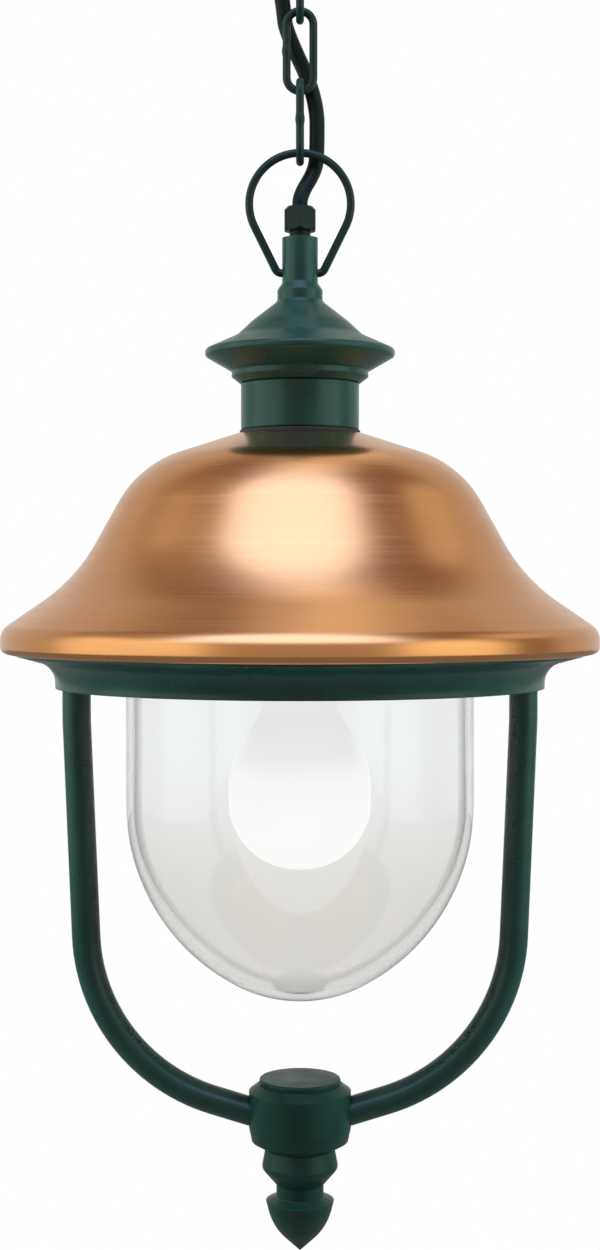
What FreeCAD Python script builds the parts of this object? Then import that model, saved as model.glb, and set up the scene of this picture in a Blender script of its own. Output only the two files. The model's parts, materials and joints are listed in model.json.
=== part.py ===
import FreeCAD, Part
import math
import os
import re
import Sketcher

# Outdoor ceiling light: a copper-hooded lantern with a clear glass dome, hung from a ceiling rose
# by a short chain. The origin is the middle of the ceiling face, with +Z up, so the lantern hangs
# below it. The hanging ring and the two arms lie in the XZ plane. All sizes are in millimetres.

SIZES = {
    # Ceiling rose, its bracket and the eye bolt
    "rose_d": 84,
    "rose_height": 25,
    "rose_wall": 2.2,
    "rose_edge_r": 8,
    "rose_foot_room": 2.8,
    "bracket_thick": 2.5,
    "bracket_width": 18,
    "bracket_drop": 9,
    "bracket_leg_run": 6,
    "bracket_bend_r": 3.5,
    "screw_spacing": 60,
    "screw_hole_d": 5.2,
    "screw_hole_margin": 7,
    "eye_shank_d": 5,
    "eye_shank_tail": 2,
    "eye_wire_d": 4.5,
    "eye_r": 7,
    "eye_neck": 3.3,
    "eye_nut_across": 8,
    "eye_nut_height": 4,
    # Cable, its grommet and the connector block in the rose
    "cable_d": 6.5,
    "cable_clear": 0.15,
    "core_d": 1.8,
    "core_pitch": 2.1,
    "grommet_x": -11.5,
    "grommet_y": 6.2,
    "grommet_hole_d": 10,
    "grommet_flange_d": 13.5,
    "grommet_lip": 2,
    "block_length": 26,
    "block_width": 12,
    "block_height": 10,
    "block_gap": 2,
    "block_pitch": 8,
    "block_bore": 3,
    # Chain and hanging ring
    "link_wire_d": 3.4,
    "link_inside": 29.8,
    "link_width": 14.6,
    "hang_play": 0.3,
    "ring_wire_d": 3.4,
    "ring_r": 21.3,
    "ring_height": 50.2,
    "ring_bend_r": 3,
    "ring_side_play": 0.3,
    "pin_play": 0.2,
    "pin_reach": 2.1,
    # Cap casting: stem, roof, brim and the spigot that enters the neck
    "stem_d": 15,
    "stem_bore": 9.2,
    "stem_rise": 14.6,
    "cap_height": 60.7,
    "bead_d": 19,
    "bead_foot": 34.6,
    "bead_top": 38.9,
    "stem_foot": 41.9,
    "roof_top_d": 20.8,
    "roof_top": 33.5,
    "roof_knee_d": 41,
    "roof_knee": 25.6,
    "roof_valley_d": 53,
    "roof_valley": 19.9,
    "roof_bend_r": 6.5,
    "brim_d": 79.6,
    "brim_top": 13.9,
    "brim_foot": 11.3,
    "brim_edge_r": 1.5,
    "cornice_d": 57.4,
    "cornice_top": 4.9,
    "cornice_foot": 2.6,
    "cap_seat_d": 50.8,
    "cap_core_d": 38,
    "cap_core_top": 17,
    "spigot_length": 3,
    "spigot_play": 0.2,
    # Cable gland on the stem
    "gland_thread_d": 8.8,
    "gland_thread_play": 0.15,
    "gland_tail": 8,
    "gland_neck": 2.9,
    "gland_nut_across": 13,
    "gland_nut_height": 10.2,
    "gland_nut_chamfer": 2.2,
    "gland_nut_roof": 2,
    "gland_bore_play": 0.45,
    "gland_seal_height": 3.5,
    # Neck tube and the seal between neck and hood
    "neck_d": 49.6,
    "neck_wall": 3,
    "neck_height": 19.9,
    "neck_chamfer": 0.6,
    "hood_seal_d": 50.6,
    "hood_seal_thick": 1.2,
    # Spun copper hood
    "hood_d": 250,
    "hood_height": 91.9,
    "hood_wall": 1,
    "hood_seat_d": 52,
    "hood_seat_r": 4,
    "flank_run": 26.4,
    "shoulder_height": 78.4,
    "shoulder_r": 45,
    "skirt_run": 31.2,
    "waist_height": 31,
    "waist_r": 72,
    "lip_height": 9.5,
    "lip_r": 7.5,
    "hem_r": 3,
    "hem_width": 4.5,
    # Threaded tube that ties cap, neck, hood and bridge together
    "tube_d": 10,
    "tube_bore": 7.2,
    "tube_play": 0.1,
    "tube_start": 4,
    "tube_nut_across": 14,
    "tube_nut_height": 4,
    "tube_washer_d": 22,
    "tube_washer_thick": 1.5,
    # Steel bridge between hood and gallery
    "bridge_thick": 2,
    "bridge_width": 20,
    "bridge_top_half": 22,
    "bridge_bend_r": 5,
    "bridge_foot_half": 9,
    # Lampholder and bulb
    "holder_drop": 48,
    "holder_thread": 8,
    "holder_neck_d": 16,
    "holder_d": 39,
    "holder_wall": 2,
    "holder_shoulder": 14,
    "holder_split": 26,
    "holder_length": 52,
    "insert_height": 8,
    "insert_play": 0.3,
    "shell_bore": 26.8,
    "shell_wall": 0.5,
    "shell_length": 24,
    "contact_d": 8,
    "contact_thick": 1,
    "rivet_d": 4,
    "bulb_thread_d": 26.2,
    "bulb_thread_end": 26,
    "bulb_d": 60,
    "bulb_length": 108,
    "bulb_neck_d": 29.6,
    "bulb_neck_end": 38,
    "bulb_shoulder": 66,
    "bulb_side": 1,
    "bulb_contact_gap": 0.3,
    # Cast gallery ring under the hood
    "gallery_show": 14.4,
    "gallery_clip_room": 5.9,
    "gallery_hood_play": 2,
    "gallery_floor": 5,
    "gallery_wall": 3,
    "gallery_cove_foot": 9,
    "gallery_cove_r": 9,
    "gallery_edge": 13.4,
    "gallery_height": 16.5,
    "gallery_glass_play": 1.5,
    "boss_d": 12,
    "boss_height": 9,
    "bridge_boss_inset": 10.4,
    # Glass dome, its gasket and its clips
    "glass_d": 146.2,
    "glass_wall": 3.2,
    "glass_flange_width": 6.9,
    "glass_flange_r": 2,
    "glass_side": 55,
    "dome_height": 84,
    "dome_corner": 48.5,
    "dome_turn": 57.6,
    "dome_side_r": 86,
    "dome_foot_r": 57,
    "dome_flat": 0.5,
    "gasket_thick": 2,
    "clip_thick": 1.5,
    "clip_width": 12,
    "clip_bite": 5,
    "clip_tail": 6,
    "clip_reach": 7.5,
    "clip_boss_d": 9,
    "clip_start": 45,
    # Arms and their screws
    "arm_d": 12,
    "arm_inset": 8.2,
    "arm_straight": 14,
    "arm_lean": 6,
    "arm_knee_drop": 159.6,
    "arm_ease_r": 120,
    "arm_bend_r": 76,
    "arm_drop": 180,
    "arm_tap_depth": 12,
    "arm_screw_d": 6,
    "arm_screw_head_d": 9.6,
    "arm_screw_reach": 10,
    # Collar, its cover and the grub screws
    "collar_d": 43.2,
    "collar_rise": 11.7,
    "collar_height": 27.4,
    "collar_shoulder_d": 35.2,
    "collar_shoulder": 3,
    "collar_taper": 8.8,
    "collar_taper_d": 40.8,
    "collar_foot_step": 3.4,
    "collar_foot_d": 29.4,
    "collar_socket_r": 13,
    "socket_play": 0.15,
    "cover_d": 34.4,
    "cover_thick": 2.4,
    "cover_edge_r": 0.8,
    "cover_spigot_d": 20,
    "cover_spigot": 4,
    "cover_play": 0.2,
    "grub_d": 5,
    "grub_r": 15,
    # Finial and its stud
    "finial_top_d": 29.4,
    "finial_bead_d": 32.4,
    "finial_bead": 8.2,
    "finial_bead_r": 3,
    "finial_neck_d": 20,
    "finial_neck": 15.4,
    "finial_neck_foot": 20.4,
    "bud_d": 28.8,
    "bud_top": 22.3,
    "bud_belly": 33,
    "bud_belly_d": 23.4,
    "bud_r": 24,
    "finial_length": 43.9,
    "stud_d": 6,
    "stud_reach": 11,
    # Screws and play shared by all of them
    "screw_d": 4,
    "screw_head_d": 7.6,
    "screw_head": 2.8,
    "screw_slot": 1,
    "screw_reach": 8,
    "screw_play": 0.15,
    "screw_tip_room": 0.5,
}

LEVELS = {
    "rose_foot": "-rose_height",
    "rose_inside": "rose_foot + rose_wall",
    "eye_nut_foot": "rose_foot - eye_nut_height",
    "eye_centre": "eye_nut_foot - eye_neck - eye_wire_d / 2 - eye_r",
    "eye_axis": "eye_centre - eye_r",
    "link_reach": "link_inside + link_wire_d",
    "upper_link_top": "eye_axis + (eye_wire_d + link_wire_d) / 2 + hang_play",
    "upper_link_axis": "upper_link_top - link_reach",
    "middle_link_top": "upper_link_axis + link_wire_d + hang_play",
    "middle_link_axis": "middle_link_top - link_reach",
    "lower_link_top": "middle_link_axis + link_wire_d + hang_play",
    "lower_link_axis": "lower_link_top - link_reach",
    "ring_top": "lower_link_axis + (link_wire_d + ring_wire_d) / 2 + hang_play",
    "pivot": "ring_top - ring_height",
    "stem_top": "pivot + stem_rise",
    "gland_nut_foot": "stem_top + gland_neck",
    "gland_nut_top": "gland_nut_foot + gland_nut_height",
    "gland_seal_foot": "gland_nut_top - gland_nut_roof - gland_seal_height",
    "cap_foot": "stem_top - cap_height",
    "neck_foot": "cap_foot - neck_height",
    "hood_top": "neck_foot - hood_seal_thick",
    "hood_rim": "hood_top - hood_height",
    "waist": "hood_d / 2 - skirt_run",
    "bridge_top": "hood_top - hood_wall",
    "washer_foot": "bridge_top - bridge_thick - tube_washer_thick",
    "tube_nut_foot": "washer_foot - tube_nut_height",
    "tube_top": "pivot - ring_wire_d / 2 - tube_start",
    "holder_top": "hood_top - holder_drop",
    "tube_foot": "holder_top - holder_thread",
    "insert_foot": "holder_top - holder_split",
    "bulb_tip": "insert_foot - contact_thick - bulb_contact_gap",
    "gallery_foot": "hood_rim - gallery_show",
    "gallery_inside": "gallery_foot + gallery_floor",
    "gallery_rim": "hood_d / 2 - hem_width - gallery_hood_play",
    "glass_seat": "gallery_inside + gasket_thick",
    "glass_flange_top": "glass_seat + glass_wall",
    "glass_rim": "glass_d / 2 + glass_flange_width",
    "clip_r": "glass_rim + clip_reach",
    "gallery_foot_r": "clip_r + clip_tail + gallery_clip_room + gallery_wall",
    "bridge_boss_top": "gallery_inside + boss_height",
    "bridge_boss_r": "gallery_foot_r - bridge_boss_inset",
    "dome_start": "glass_seat - glass_side",
    "arm_r": "gallery_foot_r - arm_inset",
    "arm_knee_r": "arm_r - arm_lean",
    "collar_axis": "gallery_foot - arm_drop",
    "collar_top": "collar_axis + collar_rise",
    "collar_foot": "collar_top - collar_height",
}

# Route of the cable from the rose down to the gland: right of the lower link, behind the middle one
# and left of the upper one, as it is threaded along the chain.
CABLE_ROUTE = [
    (-11.5, 6.2, -20.3),
    (-11.5, 6.2, -34.0),
    (-9.6, 6.6, -52.0),
    (-6.8, 7.2, -72.0),
    (7.2, 7.6, -108.0),
    (7.2, 6.8, -131.0),
    (0.0, 0.0, -150.5),
    (0.0, 0.0, -170.0),
]
CABLE_ARC_SHARE = 0.45

doc = FreeCAD.newDocument("OutdoorCeilingLight")
sheet = doc.addObject("Spreadsheet::Sheet", "Sizes")
for row, (size_name, size) in enumerate(SIZES.items(), start=1):
    sheet.set(f"A{row}", size_name)
    sheet.set(f"B{row}", str(size))
    sheet.setAlias(f"B{row}", size_name)
doc.recompute()
levels = doc.addObject("App::VarSet", "Levels")
parts = []


def bound(formula):
    """Point each size or level named in a formula at the cell or property that holds it."""

    def refer(match):
        word = match.group()
        if word in SIZES:
            return "Sizes." + word
        if word in LEVELS:
            return "Levels." + word
        return word

    return re.sub(r"[a-z_]\w*", refer, formula)


def value(formula):
    """The number that a formula of sizes and levels gives now."""
    return float(sheet.evalExpression(bound(formula)))


for level_name, level_formula in LEVELS.items():
    levels.addProperty("App::PropertyFloat", level_name)
    levels.setExpression(level_name, bound(level_formula))
    doc.recompute()


def place(piece, x="0", y="0", z="0"):
    """Tie an object's place to the sizes, keeping its turn."""
    for axis, formula in (("x", x), ("y", y), ("z", z)):
        if formula != "0":
            piece.setExpression(f"Placement.Base.{axis}", bound(formula))


def turn(piece, axis, degrees):
    """Turn an object about an axis through its own origin."""
    piece.Placement = FreeCAD.Placement(FreeCAD.Vector(), FreeCAD.Rotation(FreeCAD.Vector(*axis), degrees))


def keep(piece, label):
    """Name a finished piece and list it among the parts."""
    piece.Label = label
    parts.append(piece)
    return piece


def new_body(label):
    """An empty body whose label will name its part."""
    return doc.addObject("PartDesign::Body", label)


def new_sketch(body, plane, name):
    """A sketch on one of the body's own origin planes."""
    sketch = body.newObject("Sketcher::SketchObject", name)
    base = next(feature for feature in body.Origin.OriginFeatures if feature.Role == plane)
    sketch.AttachmentSupport = (base, [""])
    sketch.MapMode = "FlatFace"
    return sketch


def constrain(sketch, kind, *where, formula):
    """Add one dimension to a sketch and tie it to the sizes."""
    index = sketch.addConstraint(Sketcher.Constraint(kind, *where, value(formula)))
    sketch.setExpression(f"Constraints[{index}]", bound(formula))


def fix_point(sketch, geometry, end, x, y):
    """Give a point of a sketch its place, on an axis where a coordinate is nought."""
    for kind, axis, formula in (("DistanceX", -2, x), ("DistanceY", -1, y)):
        if formula == "0":
            sketch.addConstraint(Sketcher.Constraint("PointOnObject", geometry, end, axis))
        else:
            constrain(sketch, kind, geometry, end, formula=formula)


def right_of(direction):
    """The direction a quarter turn to the right, seen in the sketch."""
    return FreeCAD.Vector(direction.y, -direction.x, 0)


def directions(points, closed):
    """The unit direction of each run of a path."""
    count = len(points) if closed else len(points) - 1
    return [(points[(i + 1) % len(points)] - points[i]).normalize() for i in range(count)]


def draw_runs(sketch, points, radii, closed):
    """Draw a path's straight runs and the arcs that round its corners, joined to each other.

    Returns the runs and a dictionary of the arcs by corner.
    """
    ways = directions(points, closed)
    reach = [0.0] * len(points)
    for corner, radius in enumerate(radii):
        if radius:
            reach[corner] = radius * math.tan(ways[corner - 1].getAngle(ways[corner]) / 2)
    runs = []
    for i, way in enumerate(ways):
        after = (i + 1) % len(points)
        line = Part.LineSegment(points[i] + way * reach[i], points[after] - way * reach[after])
        runs.append(sketch.addGeometry(line))
    bends = {}
    for corner, radius in enumerate(radii):
        if not closed and corner in (0, len(points) - 1):
            continue
        before, after = ways[corner - 1], ways[corner]
        if not radius:
            sketch.addConstraint(Sketcher.Constraint("Coincident", runs[corner - 1], 2, runs[corner], 1))
            continue
        turns_right = before.cross(after).z < 0
        side = right_of(before) if turns_right else right_of(before) * -1
        begin = points[corner] - before * reach[corner]
        finish = points[corner] + after * reach[corner]
        centre = begin + side * radius
        ends = (finish, begin) if turns_right else (begin, finish)
        angles = [math.atan2(end.y - centre.y, end.x - centre.x) for end in ends]
        circle = Part.Circle(centre, FreeCAD.Vector(0, 0, 1), radius)
        arc = sketch.addGeometry(Part.ArcOfCircle(circle, *angles))
        first, second = (2, 1) if turns_right else (1, 2)
        sketch.addConstraint(Sketcher.Constraint("Tangent", runs[corner - 1], 2, arc, first))
        sketch.addConstraint(Sketcher.Constraint("Tangent", arc, second, runs[corner], 1))
        bends[corner] = (arc, turns_right)
    return runs, bends


def split_corners(corners):
    """Corners as points, radii and radius formulas; a corner is (x, y) or (x, y, radius)."""
    points = [FreeCAD.Vector(value(corner[0]), value(corner[1]), 0) for corner in corners]
    formulas = [corner[2] if len(corner) > 2 else None for corner in corners]
    radii = [value(formula) if formula else 0.0 for formula in formulas]
    return points, radii, formulas


def fix_corners(sketch, corners, runs, bends, closed):
    """Tie the corners of a drawn path, and the radii of its arcs, to the sizes."""
    for i, corner in enumerate(corners):
        x, y = corner[0], corner[1]
        if i in bends:
            tip = sketch.addGeometry(Part.Point(FreeCAD.Vector(value(x), value(y), 0)), True)
            sketch.addConstraint(Sketcher.Constraint("PointOnObject", tip, 1, runs[i - 1]))
            sketch.addConstraint(Sketcher.Constraint("PointOnObject", tip, 1, runs[i]))
            fix_point(sketch, tip, 1, x, y)
            constrain(sketch, "Radius", bends[i][0], formula=corner[2])
        elif closed or i < len(corners) - 1:
            fix_point(sketch, runs[i], 1, x, y)
        else:
            fix_point(sketch, runs[-1], 2, x, y)


def draw_outline(sketch, corners):
    """Draw a closed outline from its corners."""
    points, radii, _ = split_corners(corners)
    runs, bends = draw_runs(sketch, points, radii, True)
    fix_corners(sketch, corners, runs, bends, True)


def draw_line(sketch, corners):
    """Draw an open path from its corners."""
    points, radii, _ = split_corners(corners)
    runs, bends = draw_runs(sketch, points, radii, False)
    fix_corners(sketch, corners, runs, bends, False)


def draw_sheet(sketch, corners, wall):
    """Draw the section of a sheet: one face by its corners, the other parallel on its right side."""
    points, radii, formulas = split_corners(corners)
    runs, bends = draw_runs(sketch, points, radii, False)
    fix_corners(sketch, corners, runs, bends, False)
    thick = value(wall)
    sides = [right_of(way) for way in directions(points, False)]
    shifts = [sides[0]]
    shifts += [(a + b) * (1 / (1 + a.dot(b))) for a, b in zip(sides, sides[1:])]
    shifts += [sides[-1]]
    inner_points = [point + shift * thick for point, shift in zip(points, shifts)]
    inner_radii = [0.0] * len(points)
    for corner, (_, turns_right) in bends.items():
        inner_radii[corner] = radii[corner] + (-thick if turns_right else thick)
    inner_runs, inner_bends = draw_runs(sketch, inner_points, inner_radii, False)
    for run, inner in zip(runs, inner_runs):
        sketch.addConstraint(Sketcher.Constraint("Parallel", inner, run))
        constrain(sketch, "Distance", inner, 1, run, formula=wall)
    for corner, (arc, turns_right) in inner_bends.items():
        sign = "-" if turns_right else "+"
        constrain(sketch, "Radius", arc, formula=f"({formulas[corner]}) {sign} ({wall})")
    for end, run, inner, point, inner_point in (
        (1, runs[0], inner_runs[0], points[0], inner_points[0]),
        (2, runs[-1], inner_runs[-1], points[-1], inner_points[-1]),
    ):
        edge = sketch.addGeometry(Part.LineSegment(point, inner_point))
        sketch.addConstraint(Sketcher.Constraint("Coincident", run, end, edge, 1))
        sketch.addConstraint(Sketcher.Constraint("Coincident", inner, end, edge, 2))
        sketch.addConstraint(Sketcher.Constraint("Perpendicular", edge, run))


def revolve(body, sketch):
    """Turn a sketched half section once round the body's Z axis."""
    feature = body.newObject("PartDesign::Revolution", body.Name + "_turned")
    feature.Profile = sketch
    feature.ReferenceAxis = (sketch, ["V_Axis"])
    feature.Angle = 360


def turned_body(name, corners):
    """A solid of revolution from the corners (radius, height) of its half section."""
    body = new_body(name)
    sketch = new_sketch(body, "XZ_Plane", name + "_section")
    draw_outline(sketch, corners)
    revolve(body, sketch)
    return body


def spun_body(name, corners, wall):
    """A sheet shell of revolution from the corners of its outer face."""
    body = new_body(name)
    sketch = new_sketch(body, "XZ_Plane", name + "_section")
    draw_sheet(sketch, corners, wall)
    revolve(body, sketch)
    return body


def folded_body(name, plane, corners, wall, width):
    """A folded strip: a sheet section drawn in a plane and padded to both sides of it."""
    body = new_body(name)
    sketch = new_sketch(body, plane, name + "_section")
    draw_sheet(sketch, corners, wall)
    pad = body.newObject("PartDesign::Pad", name + "_strip")
    pad.Profile = sketch
    pad.setExpression("Length", bound(width))
    pad.Midplane = True
    return body


def draw_circles(body, plane, name, circles, offset="0"):
    """A sketch of circles (x, y, diameter), moved off its plane by an offset."""
    sketch = new_sketch(body, plane, name)
    if offset != "0":
        sketch.setExpression("AttachmentOffset.Base.z", bound(offset))
    for x, y, diameter in circles:
        centre = FreeCAD.Vector(value(x), value(y), 0)
        circle = Part.Circle(centre, FreeCAD.Vector(0, 0, 1), value(diameter) / 2)
        index = sketch.addGeometry(circle)
        fix_point(sketch, index, 3, x, y)
        constrain(sketch, "Diameter", index, formula=diameter)
    return sketch


def drill_through(body, plane, name, circles):
    """Drill holes through the whole body, square to a plane."""
    doc.recompute()
    before = body.Shape.Volume
    pocket = body.newObject("PartDesign::Pocket", name)
    pocket.Profile = draw_circles(body, plane, name + "_circles", circles)
    pocket.Type = "ThroughAll"
    pocket.Midplane = True
    doc.recompute()
    if not body.Shape.Volume < before:
        raise RuntimeError(f"{name} cuts nothing")


def swept_rod(name, corners, diameter, plane, centre, offset="0"):
    """A round rod bent along an open path drawn in the XZ plane."""
    body = new_body(name)
    spine = new_sketch(body, "XZ_Plane", name + "_line")
    draw_line(spine, corners)
    sweep_circle(body, spine, plane, centre, diameter, offset)
    return body


def sweep_circle(body, spine, plane, centre, diameter, offset):
    """Sweep a circle along a sketched line of the same body."""
    section = draw_circles(body, plane, body.Name + "_section", [(*centre, diameter)], offset)
    doc.recompute()
    pipe = body.newObject("PartDesign::AdditivePipe", body.Name + "_rod")
    pipe.Profile = section
    pipe.Spine = (spine, [f"Edge{i + 1}" for i in range(len(spine.Shape.Edges))])


def cylinder(name, diameter, height, x="0", y="0", z="0"):
    """An upright cylinder standing on (x, y, z)."""
    piece = doc.addObject("Part::Cylinder", name)
    piece.setExpression("Radius", bound(f"({diameter}) / 2"))
    piece.setExpression("Height", bound(height))
    place(piece, x, y, z)
    return piece


def box(name, length, width, height, x, y, z):
    """A box with its lowest corner at (x, y, z)."""
    piece = doc.addObject("Part::Box", name)
    piece.setExpression("Length", bound(length))
    piece.setExpression("Width", bound(width))
    piece.setExpression("Height", bound(height))
    place(piece, x, y, z)
    return piece


def hexagon(name, across, height, z):
    """An upright hexagonal bar with two flats facing along X."""
    piece = doc.addObject("Part::Prism", name)
    piece.Polygon = 6
    piece.setExpression("Circumradius", bound(f"({across}) / 2 / cos(30)"))
    piece.setExpression("Height", bound(height))
    turn(piece, (0, 0, 1), 30)
    place(piece, z=z)
    return piece


def fuse(name, members):
    """Several solids joined into one."""
    piece = doc.addObject("Part::MultiFuse", name)
    piece.Shapes = members
    return piece


def cut(name, base, tool):
    """One solid with another taken out of it."""
    piece = doc.addObject("Part::Cut", name)
    piece.Base = base
    piece.Tool = tool
    return piece


def gather(name, members):
    """Separate solids kept together as one part."""
    piece = doc.addObject("Part::Compound", name)
    piece.Links = members
    return piece


def hex_nut(name, across, height, bore, z):
    """A plain hexagonal nut."""
    return cut(name, hexagon(name + "_bar", across, height, z), cylinder(name + "_bore", bore, height, z=z))


def slotted_screw(name, diameter, head_diameter, reach, x, y, seat):
    """A cheese-head screw whose head stands on a seat, with its shank below."""
    shank = cylinder(name + "_shank", diameter, f"{reach} + screw_head / 2", x, y, f"{seat} - ({reach})")
    head = cylinder(name + "_head", head_diameter, "screw_head", x, y, seat)
    slot = box(
        name + "_slot",
        f"2 * {head_diameter}",
        "screw_slot",
        "screw_head",
        f"{x} - {head_diameter}",
        f"{y} - screw_slot / 2",
        f"{seat} + screw_head / 2",
    )
    return cut(name, fuse(name + "_blank", [shank, head]), slot)


def rounded_route(points):
    """Straight runs and tangent arcs along a route in space, and the radius of each arc."""
    edges, radii = [], []
    begin = points[0]
    for before, corner, after in zip(points, points[1:], points[2:]):
        incoming = (corner - before).normalize()
        outgoing = (after - corner).normalize()
        half_turn = incoming.getAngle(outgoing) / 2
        if half_turn < 1e-6:
            continue
        reach = CABLE_ARC_SHARE * min((corner - before).Length, (after - corner).Length)
        radius = reach / math.tan(half_turn)
        start, end = corner - incoming * reach, corner + outgoing * reach
        inward = (outgoing - incoming).normalize()
        middle = corner + inward * (radius / math.cos(half_turn) - radius)
        edges.append(Part.LineSegment(begin, start).toShape())
        edges.append(Part.Arc(start, middle, end).toShape())
        radii.append(radius)
        begin = end
    edges.append(Part.LineSegment(begin, points[-1]).toShape())
    return Part.Wire(edges), radii


def tube_along(points, diameter):
    """A round tube along a route, checked against its length and section; also its arcs' radii."""
    path, radii = rounded_route(points)
    way = (points[1] - points[0]).normalize()
    section = Part.Wire(Part.makeCircle(diameter / 2, points[0], way))
    solid = path.makePipeShell([section], True, True)
    expected = path.Length * math.pi * diameter**2 / 4
    if abs(solid.Volume - expected) > 0.01 * expected:
        raise RuntimeError("a tube's volume is not its section times its length")
    return solid, radii, path.Length


def make_ceiling_bracket():
    """Pressed steel strap screwed to the ceiling by its two feet; its middle carries the eye bolt."""
    foot_end = "(rose_d / 2 - rose_wall - rose_foot_room)"
    foot_start = "(screw_spacing / 2 - screw_hole_margin)"
    corners = [
        (f"-{foot_end}", "0"),
        (f"-{foot_start}", "0", "bracket_bend_r"),
        (f"-({foot_start} - bracket_leg_run)", "-bracket_drop", "bracket_bend_r"),
        (f"{foot_start} - bracket_leg_run", "-bracket_drop", "bracket_bend_r"),
        (foot_start, "0", "bracket_bend_r"),
        (foot_end, "0"),
    ]
    body = folded_body("ceiling_bracket", "XZ_Plane", corners, "bracket_thick", "bracket_width")
    holes = [
        ("-screw_spacing / 2", "0", "screw_hole_d"),
        ("screw_spacing / 2", "0", "screw_hole_d"),
        ("0", "0", "eye_shank_d + 2 * screw_play"),
    ]
    drill_through(body, "XY_Plane", "ceiling_bracket_holes", holes)
    keep(body, "ceiling_bracket")


def make_ceiling_rose():
    """Spun cup that hides the bracket, with a hole for the eye bolt and one for the cable."""
    corners = [
        ("rose_d / 2", "0"),
        ("rose_d / 2", "rose_foot", "rose_edge_r"),
        ("eye_shank_d / 2 + screw_play", "rose_foot"),
    ]
    body = spun_body("ceiling_rose", corners, "rose_wall")
    drill_through(body, "XY_Plane", "ceiling_rose_holes", [("grommet_x", "grommet_y", "grommet_hole_d")])
    keep(body, "ceiling_rose")


def make_eye_bolt():
    """Threaded shank with a closed eye, clamped in the bracket by a nut, with another under the rose."""
    eye = doc.addObject("Part::Torus", "eye_loop")
    eye.setExpression("Radius1", bound("eye_r"))
    eye.setExpression("Radius2", bound("eye_wire_d / 2"))
    turn(eye, (1, 0, 0), 90)
    place(eye, z="eye_centre")
    shank_foot = "eye_centre + eye_r"
    shank_height = f"eye_nut_height + eye_shank_tail - bracket_drop - ({shank_foot})"
    shank = cylinder("eye_shank", "eye_shank_d", shank_height, z=shank_foot)
    keep(fuse("eye_bolt_solid", [eye, shank]), "eye_bolt")
    bore = "eye_shank_d + 2 * screw_play"
    upper = hex_nut("eye_nut_upper", "eye_nut_across", "eye_nut_height", bore, "-bracket_drop")
    lower = hex_nut("eye_nut_lower", "eye_nut_across", "eye_nut_height", bore, "eye_nut_foot")
    keep(gather("eye_nut_pair", [upper, lower]), "eye_nuts")


def make_grommet():
    """Rubber bush snapped into the rose where the cable goes in."""
    bore = "cable_d / 2 + cable_clear"
    flange, hole = "grommet_flange_d / 2", "grommet_hole_d / 2 - cable_clear"
    corners = [
        (bore, "-grommet_lip"),
        (flange, "-grommet_lip"),
        (flange, "0"),
        (hole, "0"),
        (hole, "rose_wall"),
        (flange, "rose_wall"),
        (flange, "rose_wall + grommet_lip"),
        (bore, "rose_wall + grommet_lip"),
    ]
    body = turned_body("cable_grommet", corners)
    place(body, "grommet_x", "grommet_y", "rose_foot")
    keep(body, "cable_grommet")


def make_connector_block():
    """Three-way connector block on the floor of the rose, and the cable's cores that end in it."""
    left = "grommet_x - block_length / 2"
    front = "-bracket_width / 2 - block_gap - block_width"
    block = box("block_blank", "block_length", "block_width", "block_height", left, front, "rose_inside")
    bores = []
    for way in (-1, 0, 1):
        wire_x = f"grommet_x + {way} * block_pitch"
        bore = cylinder(f"block_bore_{way + 1}", "block_bore", "block_width")
        turn(bore, (1, 0, 0), -90)
        place(bore, wire_x, front, "rose_inside + block_height / 2")
        screw_hole = cylinder(
            f"block_screw_hole_{way + 1}",
            "block_bore",
            "block_height / 2",
            wire_x,
            f"{front} + block_width / 2",
            "rose_inside + block_height / 2",
        )
        bores += [bore, screw_hole]
    keep(cut("block_solid", block, fuse("block_bores", bores)), "connector_block")
    core_top = value("rose_inside + block_height / 2")
    block_back = value("-bracket_width / 2 - block_gap")
    cores = []
    for way in (-1, 0, 1):
        start_x = value(f"grommet_x + {way} * core_pitch")
        end_x = value(f"grommet_x + {way} * block_pitch")
        start_y = value("grommet_y")
        start_z = CABLE_ROUTE[0][2]
        route = [
            FreeCAD.Vector(start_x, start_y, start_z),
            FreeCAD.Vector(start_x, start_y, core_top),
            FreeCAD.Vector(end_x, block_back, core_top),
            FreeCAD.Vector(end_x, block_back - value("block_width") / 4, core_top),
        ]
        solid, _, _ = tube_along(route, value("core_d"))
        cores.append(solid)
    wires = doc.addObject("Part::Feature", "rose_cores")
    wires.Shape = Part.makeCompound(cores)
    keep(wires, "rose_wires")


def make_link(label, top, quarter_turn):
    """One welded chain link: two half rings joined by two straight sides."""
    half = "(link_width - link_wire_d) / 2"
    side_length = f"link_reach - 2 * {half}"
    members = []
    for name, level, degrees in (("head", f"-{half}", 90), ("foot", f"{half} - link_reach", -90)):
        bow = doc.addObject("Part::Torus", f"{label}_{name}")
        bow.setExpression("Radius1", bound(half))
        bow.setExpression("Radius2", bound("link_wire_d / 2"))
        bow.Angle3 = 180
        turn(bow, (1, 0, 0), degrees)
        place(bow, z=level)
        members.append(bow)
    for name, sign in (("left", "-"), ("right", "")):
        side_foot = f"{half} - link_reach"
        side = cylinder(f"{label}_{name}", "link_wire_d", side_length, f"{sign}{half}", z=side_foot)
        members.append(side)
    link = fuse(label + "_wire", members)
    turn(link, (0, 0, 1), 90 if quarter_turn else 0)
    place(link, z=top)
    keep(link, label)


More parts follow.
